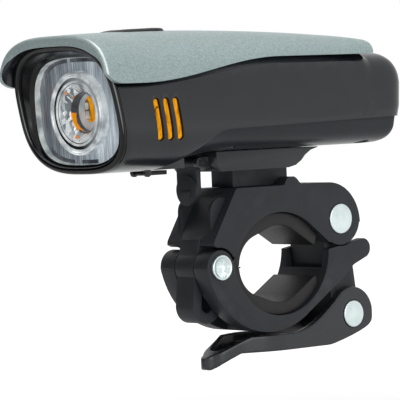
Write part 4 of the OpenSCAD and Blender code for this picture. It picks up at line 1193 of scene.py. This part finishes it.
def make_button():
    """Low rubber button: a flat crown that slopes off at its front, over a stem."""
    crown = cover_z(BUTTON_X) + BUTTON_UP
    skirt = cover_z(BUTTON_X) - 2.7
    rings = []
    profile = [(skirt - crown, 0.4), (skirt - crown + 0.3, 0), (-0.75, 0), (-0.45, 0.12), (-0.2, 0.45),
               (-0.06, 1.1), (0, 2.2)]
    for depth, inset in profile:
        outline = stadium(BUTTON_LENGTH - 2 * inset, BUTTON_WIDTH - 2 * inset, 24)
        height = crown + depth
        rings.append([Vector((BUTTON_X + a, b, height - button_slope(a, depth))) for b, a in outline])
    made = loft("button_pad", rings)
    stem = prism("stem", circle(1.8, (BUTTON_X, 0)), "Z", AXIS_Z + 17.6, skirt + 0.6)
    cut(made, stem, "UNION")
    wear(made, "rubber", body="button", instead_of="power_button")


# Hinge

def make_rivet():
    """Tubular rivet through the front hinge: a rolled rim round a dished end on both sides."""
    face, top = HALF_WIDTH + SEAM, HALF_WIDTH + SEAM + 1
    dish_radius = 3.05
    profile = [
        (2.2, 0), (2.2, face), (3.6, face), (3.6, top - 0.35), (3.52, top - 0.12), (3.3, top),
        (3.1, top - 0.04), (2.95, top - 0.18), (2.7, top - 0.55), (2.45, face + 0.1), (2.15, face - 0.1),
        (2.0, face - 0.5), (1.7, face - 0.75), (0.01, face - 0.8)]
    rings = []
    for side in (1, -1):
        half = []
        for radius, y in profile:
            half.append([Vector((a, side * y, b)) for a, b in circle(radius, PIN_C, 64)])
        rings = half[::-1] + rings if side > 0 else rings + half[1:]
    made = loft("hinge_rivet_end", rings)

    def in_dish(part):
        out = math.hypot(part.center.x / MM - PIN_C[0], part.center.z / MM - PIN_C[1])
        return out < dish_radius and abs(part.center.y) > (face - 1) * MM

    mark_inside(made, in_dish)
    wear(made, "steel", body="lower_clamp", instead_of="hinge_rivet", inside=dish_finish())


def make_hinge_seal():
    """Rubber strip on the lower jaw that closes the slit between the pads and the hinge knuckle."""
    x, z = PIN_C
    back, neck, front = x - 5.1, x - 6.22, x - 7.8
    outline = [(front, z - 0.69), (neck, z - 0.69), (neck, z - 1.2), (back, z - 1.2),
               (back, z + 0.4), (neck, z + 0.4), (neck, z - 0.31), (front, z - 0.31)]
    made = prism("hinge_seal", outline, "Y", 0.3 - HALF_WIDTH, HALF_WIDTH - 0.3)
    wear(made, "rubber", body="lower_clamp", angle=35)


# Studio

def seen_directly(tree):
    """Mask of the rays that come from the camera, a mirror or a clear piece."""
    path = add(tree, "ShaderNodeLightPath").outputs
    seen = maths(tree, "MAXIMUM", path["Is Camera Ray"], path["Is Glossy Ray"])
    return maths(tree, "MAXIMUM", seen, path["Is Transmission Ray"])


def make_floor():
    """Pale floor well below the lamp: white to the eye, and it keeps the shadow."""
    half, height = 3000, -70
    corners = [Vector((a, b, height)) for a, b in box_outline(-half, half, -half, half)]
    made = piece("floor", corners, [(0, 1, 2, 3)])
    look = Finish("white_floor", base_color=(0.8, 0.8, 0.8), roughness=0.9, specular_ior_level=0.0)
    tree = look.tree
    away = add(tree, "ShaderNodeVectorMath", {0: look.place}, operation="LENGTH").outputs["Value"]
    lift = spread(tree, away, 0.15, 0.6, 0.3, 0.75)
    glow = add(tree, "ShaderNodeEmission", {"Strength": times(tree, seen_directly(tree), lift)})
    both = add(tree, "ShaderNodeAddShader", {0: look.shader.outputs[0], 1: glow.outputs[0]})
    tree.links.new(both.outputs[0], tree.nodes["Material Output"].inputs["Surface"])
    made.data.materials.append(look.material)


def make_world():
    """White all round to the eye, and a weaker fill for the light it gives."""
    world = bpy.data.worlds.new("white_studio")
    bpy.context.scene.world = world
    world.use_nodes = True
    tree = world.node_tree
    back = tree.nodes["Background"]
    back.inputs["Color"].default_value = (1, 1, 1, 1)
    fill, to_the_eye = 0.42, 1.0
    strength = spread(tree, seen_directly(tree), 0.0, 1.0, fill, to_the_eye)
    tree.links.new(strength, back.inputs["Strength"])


def softbox(name, place, size, power):
    """Area light aimed at the middle of the lamp and clamp."""
    lamp = bpy.data.lights.new(name, "AREA")
    lamp.shape = "RECTANGLE"
    lamp.size, lamp.size_y = size
    lamp.energy = power
    made = bpy.data.objects.new(name, lamp)
    bpy.context.collection.objects.link(made)
    place, middle = Vector(place), Vector((0.015, 0, 0.02))
    turn = (place - middle).normalized().to_track_quat("Z", "Y").to_matrix().to_4x4()
    made.matrix_world = Matrix.Translation(place) @ turn


def make_flag():
    """Dark card beside the front, out of the picture, that keeps the front's black parts black."""
    middle = Vector((330, -380, 60))
    across = Vector((0.76, 0.65, 0)) * 260
    up = Vector((0, 0, 300))
    corners = [middle - across - up, middle + across - up, middle + across + up, middle - across + up]
    made = piece("dark_flag", corners, [(0, 1, 2, 3)])
    look = Finish("dark_card", base_color=(0.02, 0.02, 0.02), roughness=1.0, specular_ior_level=0.0)
    made.data.materials.append(look.material)
    made.visible_camera = False


def make_camera():
    """Camera at the photograph's angle, distance and roll."""
    azimuth, elevation, roll = (math.radians(a) for a in (139.273, 2.052, -2.394))
    target = Vector((0.02145, 0, 0.01955))
    distance = 0.7992
    sensor, focal_pixels, photo_pixels = 36, 2796, 400
    level = math.cos(elevation)
    back = Vector((math.sin(azimuth) * level, -math.cos(azimuth) * level, math.sin(elevation)))
    right = Vector((math.cos(azimuth), math.sin(azimuth), 0))
    up = back.cross(right)
    across = right * math.cos(roll) + up * math.sin(roll)
    over = up * math.cos(roll) - right * math.sin(roll)
    lens = bpy.data.cameras.new("photo_camera")
    lens.sensor_width = sensor
    lens.lens = focal_pixels * sensor / photo_pixels
    made = bpy.data.objects.new("photo_camera", lens)
    bpy.context.collection.objects.link(made)
    turn = Matrix((across, over, back)).transposed().to_4x4()
    made.matrix_world = Matrix.Translation(target + back * distance) @ turn
    bpy.context.scene.camera = made


# Solids that stay, with the radius of their rounded edges
EDGE_RADIUS = {
    "mount_shoe": 0.5, "rail_base": 0.3, "upper_jaw": 0.45, "lower_jaw": 0.5, "upper_pad": 0.35,
    "lower_pad": 0.35,
    "toggle_link": 0.5, "release_tongue": 0.3, "usb_cover": 0.25, "link_pin": 0.3,
    "lever_pin": 0.3, "battery_cell": 0.5, "battery_contacts": 0.08, "heat_sink": 0.2,
    "led_board": 0.15, "led_emitter": 0.08, "main_board": 0.1, "charge_board": 0.1, "tact_switch": 0.15,
    "usb_socket": 0.12, "shell_screws": 0.15, "shoe_screws": 0.12, "base_screw": 0.15, "tongue_pin": 0.12,
    "light_guide_left": 0.12, "light_guide_right": 0.12,
}


def dress_solids():
    """Finishes of the record's slots on the solids, with soft edges on those that stay in sight."""
    for part in frame["record"]["subparts"]:
        made = cad[part["node"]]
        made.data.materials.clear()
        made.data.materials.append(FINISHES[part["material_slot"]])
        if part["node"] == "cam_lever":
            made.data.materials[0] = moulded(
                "smooth_lever", (0.0125, 0.014, 0.0175), (0.0165, 0.018, 0.022), 0.28,
                3000.0, 0.0000015, specular_ior_level=0.5)
            cast_node("cam_lever", 0.25, 14)
        elif part["node"] in EDGE_RADIUS:
            soften_node(part["node"], EDGE_RADIUS[part["node"]])


dress_solids()
make_camera()
for make in (make_housing, make_port_pod, make_belly, make_cover, make_bezel, make_window, make_gasket,
             make_border_bands, make_optic, make_led, make_button, make_rivet, make_hinge_seal,
             make_floor, make_world, make_flag):
    make()
softbox("side_softbox", (0.25, 1.05, 0.35), (0.5, 0.8), 3.6)
softbox("top_softbox", (0.1, 0.1, 1.0), (1.0, 0.8), 4)
bpy.context.scene.view_settings.view_transform = "Standard"
